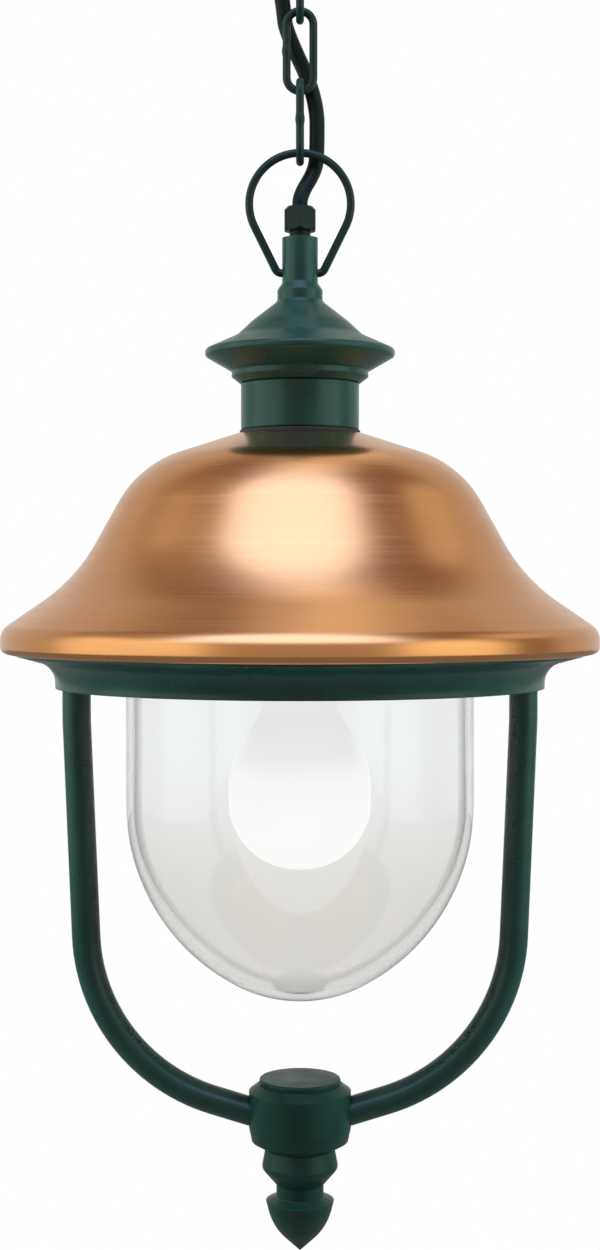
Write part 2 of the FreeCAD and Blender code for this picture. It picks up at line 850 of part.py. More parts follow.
def make_hanging_ring():
    """Wire loop with straight legs whose ends turn inward into the stem."""
    body = new_body("hanging_ring")
    spine = new_sketch(body, "XZ_Plane", "hanging_ring_line")
    leg = "stem_d / 2 + ring_side_play + ring_wire_d / 2"
    tip = "stem_d / 2 - pin_reach"
    radius, bend = value("ring_r"), value("ring_bend_r")
    centre = FreeCAD.Vector(0, value("ring_height - ring_r"), 0)
    foot = FreeCAD.Vector(value(leg), 0, 0)
    span = centre - foot
    lean = math.atan2(span.y, span.x) - math.asin(radius / span.Length)
    along = FreeCAD.Vector(math.cos(lean), math.sin(lean), 0)
    leg_top = foot + along * math.sqrt(span.Length**2 - radius**2)
    reach = bend * math.tan(lean / 2)
    bend_centre = foot + FreeCAD.Vector(-reach, bend, 0)
    up = FreeCAD.Vector(0, 0, 1)

    def mirrored(point):
        return FreeCAD.Vector(-point.x, point.y, point.z)

    pin_end = foot - FreeCAD.Vector(reach, 0, 0)
    leg_start = foot + along * reach
    pin_tip = FreeCAD.Vector(value(tip), 0, 0)
    down = -math.pi / 2
    swing = math.atan2(leg_top.y - centre.y, leg_top.x)
    left_pin = sketch_line(spine, mirrored(pin_tip), mirrored(pin_end))
    left_bend = sketch_arc(spine, mirrored(bend_centre), bend, down - lean, down)
    left_leg = sketch_line(spine, mirrored(leg_start), mirrored(leg_top))
    bow = sketch_arc(spine, centre, radius, swing, math.pi - swing)
    right_leg = sketch_line(spine, leg_top, leg_start)
    right_bend = sketch_arc(spine, bend_centre, bend, down, down + lean)
    right_pin = sketch_line(spine, pin_end, pin_tip)
    for joint in (
        (left_pin, 2, left_bend, 2),
        (left_bend, 1, left_leg, 1),
        (left_leg, 2, bow, 2),
        (bow, 1, right_leg, 1),
        (right_leg, 2, right_bend, 2),
        (right_bend, 1, right_pin, 1),
    ):
        spine.addConstraint(Sketcher.Constraint("Tangent", *joint))
    for pin, end, leg_line, sign in ((left_pin, 1, left_leg, "-"), (right_pin, 2, right_leg, "")):
        fix_point(spine, pin, end, f"{sign}({tip})", "0")
        spine.addConstraint(Sketcher.Constraint("Horizontal", pin))
        corner = spine.addGeometry(Part.Point(FreeCAD.Vector(value(f"{sign}({leg})"), 0, 0)), True)
        spine.addConstraint(Sketcher.Constraint("PointOnObject", corner, 1, leg_line))
        fix_point(spine, corner, 1, f"{sign}({leg})", "0")
    for arc in (left_bend, right_bend):
        constrain(spine, "Radius", arc, formula="ring_bend_r")
    constrain(spine, "Radius", bow, formula="ring_r")
    fix_point(spine, bow, 3, "0", "ring_height - ring_r")
    sweep_circle(body, spine, "YZ_Plane", ("0", "0"), "ring_wire_d", f"-({tip})")
    place(body, z="pivot")
    keep(body, "hanging_ring")


def sketch_line(sketch, start, end):
    """A straight line between two points of a sketch."""
    return sketch.addGeometry(Part.LineSegment(start, end))


def sketch_arc(sketch, centre, radius, start, end):
    """An arc drawn anticlockwise from one angle to another."""
    circle = Part.Circle(centre, FreeCAD.Vector(0, 0, 1), radius)
    return sketch.addGeometry(Part.ArcOfCircle(circle, start, end))


def make_gland():
    """Cable gland screwed into the stem: body, rubber seal and hexagonal nut."""
    thread, bore = "gland_thread_d / 2", "cable_d / 2 + gland_bore_play"
    nut_bore = "gland_thread_d / 2 + gland_thread_play"
    body_height = "gland_tail + gland_seal_foot - stem_top"
    corners = [(bore, "0"), (thread, "0"), (thread, body_height), (bore, body_height)]
    body = turned_body("gland_body", corners)
    place(body, z="stem_top - gland_tail")
    keep(body, "gland_body")
    seal_bore, seal_side = "cable_d / 2 + cable_clear", "gland_thread_d / 2"
    height = "gland_seal_height"
    seal_corners = [(seal_bore, "0"), (seal_side, "0"), (seal_side, height), (seal_bore, height)]
    seal = turned_body("gland_seal", seal_corners)
    place(seal, z="gland_seal_foot")
    keep(seal, "gland_seal")
    tip = "gland_nut_across / 2 / cos(30)"
    top = "gland_nut_height"
    corners = [
        (nut_bore, "0"),
        ("gland_nut_across / 2", "0"),
        (tip, f"{tip} - gland_nut_across / 2"),
        (tip, f"{top} - gland_nut_chamfer"),
        (f"{tip} - gland_nut_chamfer", top),
        (bore, top),
        (bore, f"{top} - gland_nut_roof"),
        (nut_bore, f"{top} - gland_nut_roof"),
    ]
    blank = turned_body("gland_nut_blank", corners)
    bar = hexagon("gland_nut_bar", "gland_nut_across", top, "0")
    nut = doc.addObject("Part::Common", "gland_nut_solid")
    nut.Base = bar
    nut.Tool = blank
    place(nut, z="gland_nut_foot")
    keep(nut, "gland_nut")


def make_cap():
    """Cast cap in one piece: the stem that carries the lantern, the roof, the brim and the cornice."""
    tube_side = "tube_d / 2 + tube_play"
    tube_stop = "tube_top - cap_foot"
    boss_foot = "cap_core_top + (cap_core_d - tube_nut_across) / 2"
    corners = [
        ("cap_core_d / 2", "-spigot_length"),
        ("neck_d / 2 - neck_wall - spigot_play", "-spigot_length"),
        ("neck_d / 2 - neck_wall - spigot_play", "0"),
        ("cap_seat_d / 2", "0"),
        ("cornice_d / 2", "cornice_foot"),
        ("cornice_d / 2", "cornice_top"),
        ("brim_d / 2", "brim_foot", "brim_edge_r"),
        ("brim_d / 2", "brim_top", "brim_edge_r"),
        ("roof_valley_d / 2", "roof_valley", "roof_bend_r"),
        ("roof_knee_d / 2", "roof_knee", "roof_bend_r"),
        ("roof_top_d / 2", "roof_top"),
        ("bead_d / 2", "bead_foot"),
        ("bead_d / 2", "bead_top", "brim_edge_r"),
        ("stem_d / 2", "stem_foot", "brim_edge_r"),
        ("stem_d / 2", "cap_height"),
        ("stem_bore / 2", "cap_height"),
        ("stem_bore / 2", tube_stop),
        (tube_side, tube_stop),
        (tube_side, boss_foot),
        ("tube_nut_across / 2", boss_foot),
        ("cap_core_d / 2", "cap_core_top"),
    ]
    body = turned_body("cap", corners)
    pin_height = "pivot - cap_foot"
    drill_through(body, "YZ_Plane", "cap_pin_holes", [("0", pin_height, "ring_wire_d + 2 * pin_play")])
    place(body, z="cap_foot")
    keep(body, "cap")


def make_neck():
    """Turned tube between cap and hood, and the seal at its foot."""
    inside, outside = "neck_d / 2 - neck_wall", "neck_d / 2"
    corners = [
        (inside, "0"),
        (f"{outside} - neck_chamfer", "0"),
        (outside, "neck_chamfer"),
        (outside, "neck_height - neck_chamfer"),
        (f"{outside} - neck_chamfer", "neck_height"),
        (inside, "neck_height"),
    ]
    body = turned_body("neck", corners)
    place(body, z="neck_foot")
    keep(body, "neck")
    thick = "hood_seal_thick"
    rim = "hood_seal_d / 2"
    seal = turned_body("hood_seal", [(inside, "0"), (rim, "0"), (rim, thick), (inside, thick)])
    place(seal, z="hood_top")
    keep(seal, "hood_seal")


def make_hood():
    """Hood spun from copper sheet: flat seat, bell flank, flared skirt and an edge turned under."""
    corners = [
        ("tube_d / 2 + tube_play", "hood_height"),
        ("hood_seat_d / 2", "hood_height", "hood_seat_r"),
        ("waist - flank_run", "shoulder_height", "shoulder_r"),
        ("waist", "waist_height", "waist_r"),
        ("hood_d / 2", "lip_height", "lip_r"),
        ("hood_d / 2", "0", "hem_r"),
        ("hood_d / 2 - hem_width", "0"),
    ]
    body = spun_body("hood", corners, "hood_wall")
    place(body, z="hood_rim")
    keep(body, "hood")


def make_tie_tube():
    """Threaded tube from the cap down to the lampholder, with the washer and nut under the bridge."""
    length = "tube_top - tube_foot"
    bore, side = "tube_bore / 2", "tube_d / 2"
    tube = turned_body("tie_tube", [(bore, "0"), (side, "0"), (side, length), (bore, length)])
    place(tube, z="tube_foot")
    keep(tube, "tie_tube")
    thick, hole = "tube_washer_thick", "tube_d / 2 + tube_play"
    rim = "tube_washer_d / 2"
    washer = turned_body("tie_washer", [(hole, "0"), (rim, "0"), (rim, thick), (hole, thick)])
    place(washer, z="washer_foot")
    keep(washer, "tie_washer")
    hole = "tube_d + 2 * tube_play"
    nut = hex_nut("tie_nut_solid", "tube_nut_across", "tube_nut_height", hole, "tube_nut_foot")
    keep(nut, "tie_nut")


def make_bridge():
    """Steel strap under the hood's crown whose feet carry the gallery, with its two screws."""
    drop = "(bridge_top - bridge_boss_top - bridge_thick)"
    foot_end = "(bridge_boss_r + bridge_foot_half)"
    foot_start = "(bridge_boss_r - bridge_foot_half)"
    corners = [
        (f"-{foot_end}", f"-{drop}"),
        (f"-{foot_start}", f"-{drop}", "bridge_bend_r"),
        ("-bridge_top_half", "0", "bridge_bend_r"),
        ("bridge_top_half", "0", "bridge_bend_r"),
        (foot_start, f"-{drop}", "bridge_bend_r"),
        (foot_end, f"-{drop}"),
    ]
    body = folded_body("bridge", "YZ_Plane", corners, "bridge_thick", "bridge_width")
    hole = "screw_d + 2 * screw_play"
    holes = [
        ("0", "0", "tube_d + 2 * tube_play"),
        ("0", "bridge_boss_r", hole),
        ("0", "-bridge_boss_r", hole),
    ]
    drill_through(body, "XY_Plane", "bridge_holes", holes)
    place(body, z="bridge_top")
    keep(body, "bridge")
    seat = "(bridge_boss_top + bridge_thick)"
    reach = "screw_reach + bridge_thick"
    screws = [
        slotted_screw(f"bridge_screw_{side}", "screw_d", "screw_head_d", reach, "0", y, seat)
        for side, y in (("back", "bridge_boss_r"), ("front", "-bridge_boss_r"))
    ]
    keep(gather("bridge_screw_pair", screws), "bridge_screws")


def make_lampholder():
    """Lampholder screwed on the tube: cap, sleeve, porcelain insert, screw shell and centre contact."""
    side, inner = "holder_d / 2", "holder_d / 2 - holder_wall"
    hole = "tube_d / 2 + tube_play"
    cap_corners = [
        (hole, "0"),
        ("holder_neck_d / 2", "0"),
        ("holder_neck_d / 2", "-holder_thread"),
        (side, "-holder_shoulder", "holder_wall + 1"),
        (side, "-holder_split"),
        (inner, "-holder_split"),
        (inner, "-holder_shoulder - holder_wall"),
        ("holder_neck_d / 2", "-holder_thread - holder_wall"),
        (hole, "-holder_thread - holder_wall"),
    ]
    cap = turned_body("lampholder_cap", cap_corners)
    place(cap, z="holder_top")
    keep(cap, "lampholder_cap")
    shell_side = "shell_bore / 2 + shell_wall"
    sleeve_corners = [
        (side, "-holder_split"),
        (side, "-holder_length"),
        (f"{shell_side} + insert_play", "-holder_length"),
        (f"{shell_side} + insert_play", "-holder_length + holder_wall"),
        (inner, "-holder_length + holder_wall"),
        (inner, "-holder_split"),
    ]
    sleeve = turned_body("lampholder_sleeve", sleeve_corners)
    place(sleeve, z="holder_top")
    keep(sleeve, "lampholder_sleeve")
    rivet = "rivet_d / 2"
    insert_side = f"{inner} - insert_play"
    insert = turned_body(
        "lampholder_insert",
        [(rivet, "0"), (insert_side, "0"), (insert_side, "insert_height"), (rivet, "insert_height")],
    )
    place(insert, z="insert_foot")
    keep(insert, "lampholder_insert")
    shell_foot = "contact_d / 2 + 2 * shell_wall"
    shell_corners = [
        (shell_foot, "0"),
        (shell_side, "0"),
        (shell_side, "-shell_length"),
        ("shell_bore / 2", "-shell_length"),
        ("shell_bore / 2", "-shell_wall"),
        (shell_foot, "-shell_wall"),
    ]
    shell = turned_body("screw_shell", shell_corners)
    place(shell, z="insert_foot")
    keep(shell, "screw_shell")
    contact_corners = [
        ("0", "-contact_thick"),
        ("contact_d / 2", "-contact_thick"),
        ("contact_d / 2", "0"),
        (rivet, "0"),
        (rivet, "insert_height"),
        ("0", "insert_height"),
    ]
    contact = turned_body("centre_contact", contact_corners)
    place(contact, z="insert_foot")
    keep(contact, "centre_contact")


def make_bulb():
    """Opal bulb, sealed: screw cap and glass bulb as one solid."""
    thread, waist, belly = "bulb_thread_d / 2", "bulb_neck_d / 2", "bulb_d / 2"
    crown = "bulb_d / 2 - 0.02 * bulb_d"
    lean = f"atan(({belly} - {waist}) / (bulb_shoulder - bulb_neck_end))"
    widest_shoulder_r = f"(bulb_length - bulb_shoulder - ({crown}) - bulb_side) / tan({lean} / 2)"
    corners = [
        ("0", "0"),
        ("contact_d / 2", "0"),
        (thread, "-bulb_thread_end / 4"),
        (thread, "-bulb_thread_end"),
        (waist, "-bulb_thread_end - bulb_neck_d / 2 + bulb_thread_d / 2"),
        (waist, "-bulb_neck_end", "bulb_neck_d"),
        (belly, "-bulb_shoulder", f"min(bulb_d / 2; {widest_shoulder_r})"),
        (belly, "-bulb_length", crown),
        ("0", "-bulb_length"),
    ]
    body = turned_body("bulb", corners)
    place(body, z="bulb_tip")
    keep(body, "bulb")


def make_lamp_wires():
    """The cable's three cores inside the lantern, from the gland down to the lampholder."""
    top = f"{CABLE_ROUTE[-1][2]}"
    foot = "insert_foot + insert_height"
    cores = []
    for number in range(3):
        angle = 90 + 120 * number
        x, y = f"core_d / 2 / cos(30) * 1.05 * cos({angle})", f"core_d / 2 / cos(30) * 1.05 * sin({angle})"
        cores.append(cylinder(f"lamp_core_{number}", "core_d", f"{top} - ({foot})", x, y, foot))
    keep(gather("lamp_cores", cores), "lamp_wires")


def make_gallery():
    """Cast ring under the hood: it holds the glass, and the arms hang from it."""
    glass_hole = "glass_d / 2 + gallery_glass_play"
    corners = [
        (glass_hole, "0"),
        ("gallery_foot_r", "0"),
        ("gallery_foot_r", "gallery_cove_foot", "gallery_cove_r"),
        ("gallery_rim", "gallery_edge"),
        ("gallery_rim", "gallery_height"),
        ("gallery_rim - gallery_wall", "gallery_height"),
        ("gallery_foot_r - gallery_wall", "gallery_cove_foot + gallery_wall", "gallery_cove_r / 2"),
        ("gallery_foot_r - gallery_wall", "gallery_floor"),
        (glass_hole, "gallery_floor"),
    ]
    body = turned_body("gallery", corners)
    bridge_places = [("0", "bridge_boss_r"), ("0", "-bridge_boss_r")]
    clip_places = [
        (f"clip_r * cos(clip_start + {120 * number})", f"clip_r * sin(clip_start + {120 * number})")
        for number in range(3)
    ]
    raise_bosses(body, "gallery_bridge_bosses", bridge_places, "boss_d", "boss_height")
    clip_height = "gasket_thick + glass_wall"
    raise_bosses(body, "gallery_clip_bosses", clip_places, "clip_boss_d", clip_height)
    tap = "screw_d + 2 * screw_play"
    tap_depth = "screw_reach + screw_tip_room"
    tap_holes(body, "gallery_bridge_taps", bridge_places, tap, "gallery_floor + boss_height", tap_depth)
    tap_holes(body, "gallery_clip_taps", clip_places, tap, f"gallery_floor + {clip_height}", tap_depth)
    arm_holes = [(f"{sign}arm_r", "0", "arm_screw_d + 2 * screw_play") for sign in ("", "-")]
    drill_through(body, "XY_Plane", "gallery_arm_holes", arm_holes)
    place(body, z="gallery_foot")
    keep(body, "gallery")


def raise_bosses(body, name, places, diameter, height):
    """Round bosses standing on the gallery's floor."""
    circles = [(x, y, diameter) for x, y in places]
    pad = body.newObject("PartDesign::Pad", name)
    pad.Profile = draw_circles(body, "XY_Plane", name + "_circles", circles, "gallery_floor / 2")
    pad.setExpression("Length", bound(f"gallery_floor / 2 + {height}"))


def tap_holes(body, name, places, diameter, top, depth):
    """Blind holes from a top face down to a depth."""
    circles = [(x, y, diameter) for x, y in places]
    doc.recompute()
    before = body.Shape.Volume
    pocket = body.newObject("PartDesign::Pocket", name)
    pocket.Profile = draw_circles(body, "XY_Plane", name + "_circles", circles, top)
    pocket.setExpression("Length", bound(depth))
    doc.recompute()
    if not body.Shape.Volume < before:
        raise RuntimeError(f"{name} cuts nothing")


def make_glass():
    """Blown glass dome with a flange at its mouth, on a rubber gasket."""
    side = "glass_d / 2"
    foot_x = f"{side} - (dome_height - dome_corner) * tan(dome_turn)"
    widest_foot_r = f"({foot_x} - dome_flat) / tan((90 - dome_turn) / 2)"
    corners = [
        ("glass_rim", "glass_side"),
        (side, "glass_side", "glass_flange_r"),
        (side, "-dome_corner", "dome_side_r"),
        (foot_x, "-dome_height", f"min(dome_foot_r; {widest_foot_r})"),
        ("0", "-dome_height"),
    ]
    body = spun_body("glass_dome", corners, "glass_wall")
    place(body, z="dome_start")
    keep(body, "glass_dome")
    hole = f"{side} + glass_flange_r + socket_play"
    rim, thick = "glass_rim", "gasket_thick"
    gasket = turned_body("glass_gasket", [(hole, "0"), (rim, "0"), (rim, thick), (hole, thick)])
    place(gasket, z="gallery_inside")
    keep(gasket, "glass_gasket")


def make_glass_clips():
    """Three flat clips screwed to the gallery that press the glass flange on its gasket."""
    start = "glass_rim - clip_bite"
    length = f"clip_r + clip_tail - ({start})"
    clips, screws = [], []
    for number in range(3):
        plate = box(
            f"clip_plate_{number}",
            length,
            "clip_width",
            "clip_thick",
            start,
            "-clip_width / 2",
            "glass_flange_top",
        )
        hole = cylinder(
            f"clip_hole_{number}",
            "screw_d + 2 * screw_play",
            "clip_thick",
            "clip_r",
            z="glass_flange_top",
        )
        clip = cut(f"clip_{number}", plate, hole)
        seat = "(glass_flange_top + clip_thick)"
        reach = "screw_reach + clip_thick"
        screw = slotted_screw(f"clip_screw_{number}", "screw_d", "screw_head_d", reach, "clip_r", "0", seat)
        for piece in (clip, screw):
            turn(piece, (0, 0, 1), 120 * number)
            piece.setExpression("Placement.Rotation.Angle", bound(f"clip_start + {120 * number}"))
        clips.append(clip)
        screws.append(screw)
    keep(gather("clip_set", clips), "glass_clips")
    keep(gather("clip_screw_set", screws), "clip_screws")


def collar_slope():
    """How steeply the arms run into the collar, in degrees below level."""
    return "atan((arm_drop - arm_knee_drop) / (arm_knee_r - collar_d / 2))"


def make_arm(label, sign):
    """Round arm from the gallery down and inward to the collar, tapped at its upper end."""
    slope = collar_slope()
    end_z = f"-arm_drop - (collar_d / 2 - collar_socket_r) * tan({slope})"
    corners = [
        (f"{sign}arm_r", "0"),
        (f"{sign}arm_r", "-arm_straight", "arm_ease_r"),
        (f"{sign}arm_knee_r", "-arm_knee_drop", "arm_bend_r"),
        (f"{sign}collar_socket_r", end_z),
    ]
    body = swept_rod(label, corners, "arm_d", "XY_Plane", (f"{sign}arm_r", "0"))
    hole = [(f"{sign}arm_r", "0")]
    tap_holes(body, label + "_tap", hole, "arm_screw_d + 2 * screw_play", "0", "arm_tap_depth")
    place(body, z="gallery_foot")
    keep(body, label)


def make_arm_screws():
    """Screws through the gallery's floor into the tops of the arms."""
    reach = "arm_screw_reach + gallery_floor"
    head = "arm_screw_head_d"
    screws = [
        slotted_screw(f"arm_screw_{side}", "arm_screw_d", head, reach, f"{sign}arm_r", "0", "gallery_inside")
        for side, sign in (("right", ""), ("left", "-"))
    ]
    keep(gather("arm_screw_pair", screws), "arm_screws")


def make_collar():
    """Turned collar that takes both arms, with its grub screws and cover."""
    outer = "collar_d / 2"
    corners = [
        ("0", "0"),
        ("collar_foot_d / 2", "0"),
        ("collar_taper_d / 2", "collar_foot_step"),
        (outer, "collar_taper"),
        (outer, "collar_height - collar_shoulder"),
        ("collar_shoulder_d / 2", "collar_height"),
        ("0", "collar_height"),
    ]
    blank = turned_body("collar_blank", corners)
    place(blank, z="collar_foot")
    tools = []
    for side, sign, degrees in (("right", "", "90 deg - "), ("left", "-", "-90 deg + ")):
        socket = cylinder(f"collar_socket_{side}", "arm_d + 2 * socket_play", "collar_d")
        turn(socket, (0, 1, 0), 1)
        socket.setExpression("Placement.Rotation.Angle", bound(f"{degrees}{collar_slope()}"))
        socket_z = f"collar_axis - (collar_d / 2 - collar_socket_r + socket_play) * tan({collar_slope()})"
        place(socket, f"{sign}(collar_socket_r - socket_play)", "0", socket_z)
        tools.append(socket)
        grub_hole = cylinder(
            f"grub_hole_{side}",
            "grub_d + 2 * screw_play",
            "collar_rise",
            f"{sign}grub_r",
            z="collar_axis",
        )
        tools.append(grub_hole)
    spigot_d = "cover_spigot_d + 2 * cover_play"
    tools.append(cylinder("cover_hole", spigot_d, "cover_spigot", z="collar_top - cover_spigot"))
    stud_hole_d = "stud_d + 2 * screw_play"
    stud_hole_depth = "stud_reach + screw_tip_room"
    tools.append(cylinder("collar_stud_hole", stud_hole_d, stud_hole_depth, z="collar_foot"))
    keep(cut("collar_solid", blank, fuse("collar_holes", tools)), "collar")
    slope = collar_slope()
    arm_axis = f"collar_axis - (collar_d / 2 - grub_r) * tan({slope})"
    arm_top = f"{arm_axis} + arm_d / 2 / cos({slope})"
    foot = f"({arm_top}) + grub_d / 2 * tan({slope}) + screw_play"
    grubs = [
        cylinder(f"grub_{side}", "grub_d", f"collar_top - ({foot}) - screw_play", f"{sign}grub_r", z=foot)
        for side, sign in (("right", ""), ("left", "-"))
    ]
    keep(gather("grub_pair", grubs), "collar_grub_screws")
    cover_corners = [
        ("0", "-cover_spigot + cover_play"),
        ("cover_spigot_d / 2", "-cover_spigot + cover_play"),
        ("cover_spigot_d / 2", "0"),
        ("cover_d / 2", "0"),
        ("cover_d / 2", "cover_thick", "cover_edge_r"),
        ("0", "cover_thick"),
    ]
    cover = turned_body("collar_cover", cover_corners)
    place(cover, z="collar_top")
    keep(cover, "collar_cover")


def make_finial():
    """Cast finial: bead, thin neck and pointed bud, held to the collar by a stud."""
    hole_r = "stud_d / 2 + screw_play"
    depth = "-stud_reach - screw_tip_room"
    corners = [
        (hole_r, "0"),
        ("finial_top_d / 2", "0"),
        ("finial_bead_d / 2", "-finial_bead", "finial_bead_r"),
        ("finial_neck_d / 2", "-finial_neck"),
        ("finial_neck_d / 2", "-finial_neck_foot"),
        ("bud_d / 2", "-bud_top"),
        ("bud_belly_d / 2", "-bud_belly", "bud_r"),
        ("0", "-finial_length"),
        ("0", depth),
        (hole_r, depth),
    ]
    body = turned_body("finial", corners)
    place(body, z="collar_foot")
    keep(body, "finial")
    stud = cylinder("finial_stud_rod", "stud_d", "2 * stud_reach", z="collar_foot - stud_reach")
    keep(stud, "finial_stud")


def make_supply_cable():
    """Cable from the rose to the gland, along its route beside the chain."""
    route = [FreeCAD.Vector(*point) for point in CABLE_ROUTE]
    solid, radii, length = tube_along(route, value("cable_d"))
    cable = doc.addObject("Part::Feature", "supply_cable_tube")
    cable.Shape = solid
    keep(cable, "supply_cable")
    print("supply cable length", round(length, 1), "arc radii", [round(radius, 1) for radius in radii])


make_ceiling_bracket()
make_ceiling_rose()
make_eye_bolt()
make_grommet()
make_connector_block()
make_supply_cable()
make_link("upper_link", "upper_link_top", True)
make_link("middle_link", "middle_link_top", False)
make_link("lower_link", "lower_link_top", True)
make_hanging_ring()
make_gland()
make_cap()
make_neck()
make_hood()
make_tie_tube()
make_bridge()
make_lampholder()
make_bulb()
make_lamp_wires()
make_gallery()
make_glass()
make_glass_clips()
make_arm("left_arm", "-")
make_arm("right_arm", "")
make_arm_screws()
make_collar()
make_finial()
doc.recompute()

for item in doc.Objects:
    if "Invalid" in item.State or "Error" in item.State:
        raise RuntimeError(f"{item.Label} failed: {item.State}")
for part in parts:
    if part.Shape.isNull() or not part.Shape.isValid():
        raise RuntimeError(f"{part.Label} has no valid shape")

os.makedirs("parts", exist_ok=True)
for part in parts:
    part.Shape.exportStep(f"parts/{part.Label}.step")
print(len(parts), "parts written")
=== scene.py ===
import json
import math

import bmesh
import bpy
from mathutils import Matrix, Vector

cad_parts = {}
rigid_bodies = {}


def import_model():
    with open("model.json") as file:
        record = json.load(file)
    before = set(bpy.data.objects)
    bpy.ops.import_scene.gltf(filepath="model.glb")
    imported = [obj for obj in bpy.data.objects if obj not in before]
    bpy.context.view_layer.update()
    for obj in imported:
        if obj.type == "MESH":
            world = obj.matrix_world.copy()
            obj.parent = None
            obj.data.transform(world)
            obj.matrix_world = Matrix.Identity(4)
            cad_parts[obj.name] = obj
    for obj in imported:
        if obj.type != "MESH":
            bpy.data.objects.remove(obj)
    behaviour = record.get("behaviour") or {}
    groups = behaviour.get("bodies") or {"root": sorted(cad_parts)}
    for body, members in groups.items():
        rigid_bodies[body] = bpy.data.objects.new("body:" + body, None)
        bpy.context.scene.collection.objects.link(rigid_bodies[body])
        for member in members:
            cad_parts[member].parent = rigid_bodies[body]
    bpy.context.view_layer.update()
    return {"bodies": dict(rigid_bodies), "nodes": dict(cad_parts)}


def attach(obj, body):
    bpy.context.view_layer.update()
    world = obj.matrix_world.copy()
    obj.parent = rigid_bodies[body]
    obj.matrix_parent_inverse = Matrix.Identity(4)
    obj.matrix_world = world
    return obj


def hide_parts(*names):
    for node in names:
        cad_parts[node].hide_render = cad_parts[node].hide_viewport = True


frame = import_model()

scene = bpy.context.scene
scene.view_settings.view_transform = "Standard"


# Where the photographer stood: in front of the lantern, level with the hood's lower half and looking
# down by a degree or so, with the lamp filling the upright frame. The lens sees 36 mm on its long side.
lens_mm = 56.2
frame_mm = 36.0
camera_place = (0.0, -0.822, -0.312)
camera_dip = 1.3
camera_data = bpy.data.cameras.new("photo_view")
camera_data.sensor_fit = "VERTICAL"
camera_data.sensor_height = frame_mm
camera_data.lens = lens_mm
camera = bpy.data.objects.new("photo_view", camera_data)
camera.location = camera_place
camera.rotation_euler = (math.radians(90.0 - camera_dip), 0.0, 0.0)
scene.collection.objects.link(camera)
scene.camera = camera


# The studio: white behind and below the lantern. What the metal mirrors is a dim warm room with pale
# walls, a screen at each side, two small windows and a canopy of daylight with a glowing gap behind
# it; three soft panels light the rest.
def add_node(tree, kind, inputs=None, **settings):
    """Add a node to a tree, with its settings and with a value or a link for each named input."""
    made = tree.nodes.new(kind)
    for key, setting in settings.items():
        setattr(made, key, setting)
    for socket, given in (inputs or {}).items():
        if isinstance(given, bpy.types.NodeSocket):
            tree.links.new(given, made.inputs[socket])
        else:
            made.inputs[socket].default_value = given
    return made


def sum_of(tree, operation, first, second=0.0, third=0.0):
    """One step of arithmetic in a tree, on sockets or numbers."""
    return add_node(tree, "ShaderNodeMath", {0: first, 1: second, 2: third}, operation=operation).outputs[0]


def all_of(tree, *masks):
    """The product of masks and numbers."""
    product = masks[0]
    for mask in masks[1:]:
        product = sum_of(tree, "MULTIPLY", product, mask)
    return product


def spread(tree, given, low, high, to_low=0.0, to_high=1.0):
    """A socket's values between low and high, eased to the range between to_low and to_high."""
    sockets = {"Value": given, "From Min": low, "From Max": high, "To Min": to_low, "To Max": to_high}
    return add_node(tree, "ShaderNodeMapRange", sockets, interpolation_type="SMOOTHSTEP").outputs[0]


def toward(tree, direction, aim):
    """How far a direction points the way of an aim: 1 along it, 0 across it."""
    pair = {0: direction, 1: aim}
    return add_node(tree, "ShaderNodeVectorMath", pair, operation="DOT_PRODUCT").outputs["Value"]


def seen_directly(tree):
    """Two masks: of rays that see the studio from the camera or through glass, and of reflections."""
    path = add_node(tree, "ShaderNodeLightPath").outputs
    seen = sum_of(tree, "MAXIMUM", path["Is Camera Ray"], path["Is Transmission Ray"])
    return seen, path["Is Glossy Ray"]


def room_light(colour, strength):
    """Light of the room, in one colour and of a strength that can change with the direction."""
    sockets = {"Color": (*colour, 1.0), "Strength": strength}
    return add_node(room, "ShaderNodeBackground", sockets).outputs[0]


world = bpy.data.worlds.new("studio")
scene.world = world
world.use_nodes = True
room = world.node_tree
room.nodes.clear()
direction = add_node(room, "ShaderNodeTexCoord").outputs["Generated"]
to_right, to_back, to_top = add_node(room, "ShaderNodeSeparateXYZ", {0: direction}).outputs
to_front = sum_of(room, "MULTIPLY", to_back, -1.0)
forward = sum_of(room, "MAXIMUM", to_front, 0.0)

wall_wrap = 0.25
back_wall_light = 0.38
far_wall_light = 0.15
front_wall_light = 0.26
turned_away = sum_of(room, "MULTIPLY_ADD", sum_of(room, "ABSOLUTE", to_right), wall_wrap, to_back)
back_wall = spread(room, turned_away, 0.38, 0.75, 0.0, back_wall_light)
far_wall = spread(room, to_back, 0.75, 0.98, 0.0, far_wall_light)
front_wall = spread(room, to_front, 0.5, 0.95, 0.0, front_wall_light)

left_screen_light = 1.0
right_screen_light = 1.1
level = spread(room, sum_of(room, "ABSOLUTE", to_top), 0.80, 0.40)
left_side = spread(room, to_right, -0.45, -0.70)
right_side = spread(room, to_right, 0.50, 0.72)
left_screen = all_of(room, left_side, spread(room, to_back, 0.40, 0.0), level, left_screen_light)
right_screen = all_of(room, right_side, spread(room, to_back, 0.05, -0.30), level, right_screen_light)

left_window_light = 0.14
right_window_light = 0.50
toward_left = toward(room, direction, (-0.70, -0.06, 0.71))
toward_right = toward(room, direction, (0.77, 0.17, 0.615))
left_window = spread(room, toward_left, 0.86, 0.99, 0.0, left_window_light)
right_window = spread(room, toward_right, 0.955, 0.998, 0.0, right_window_light)

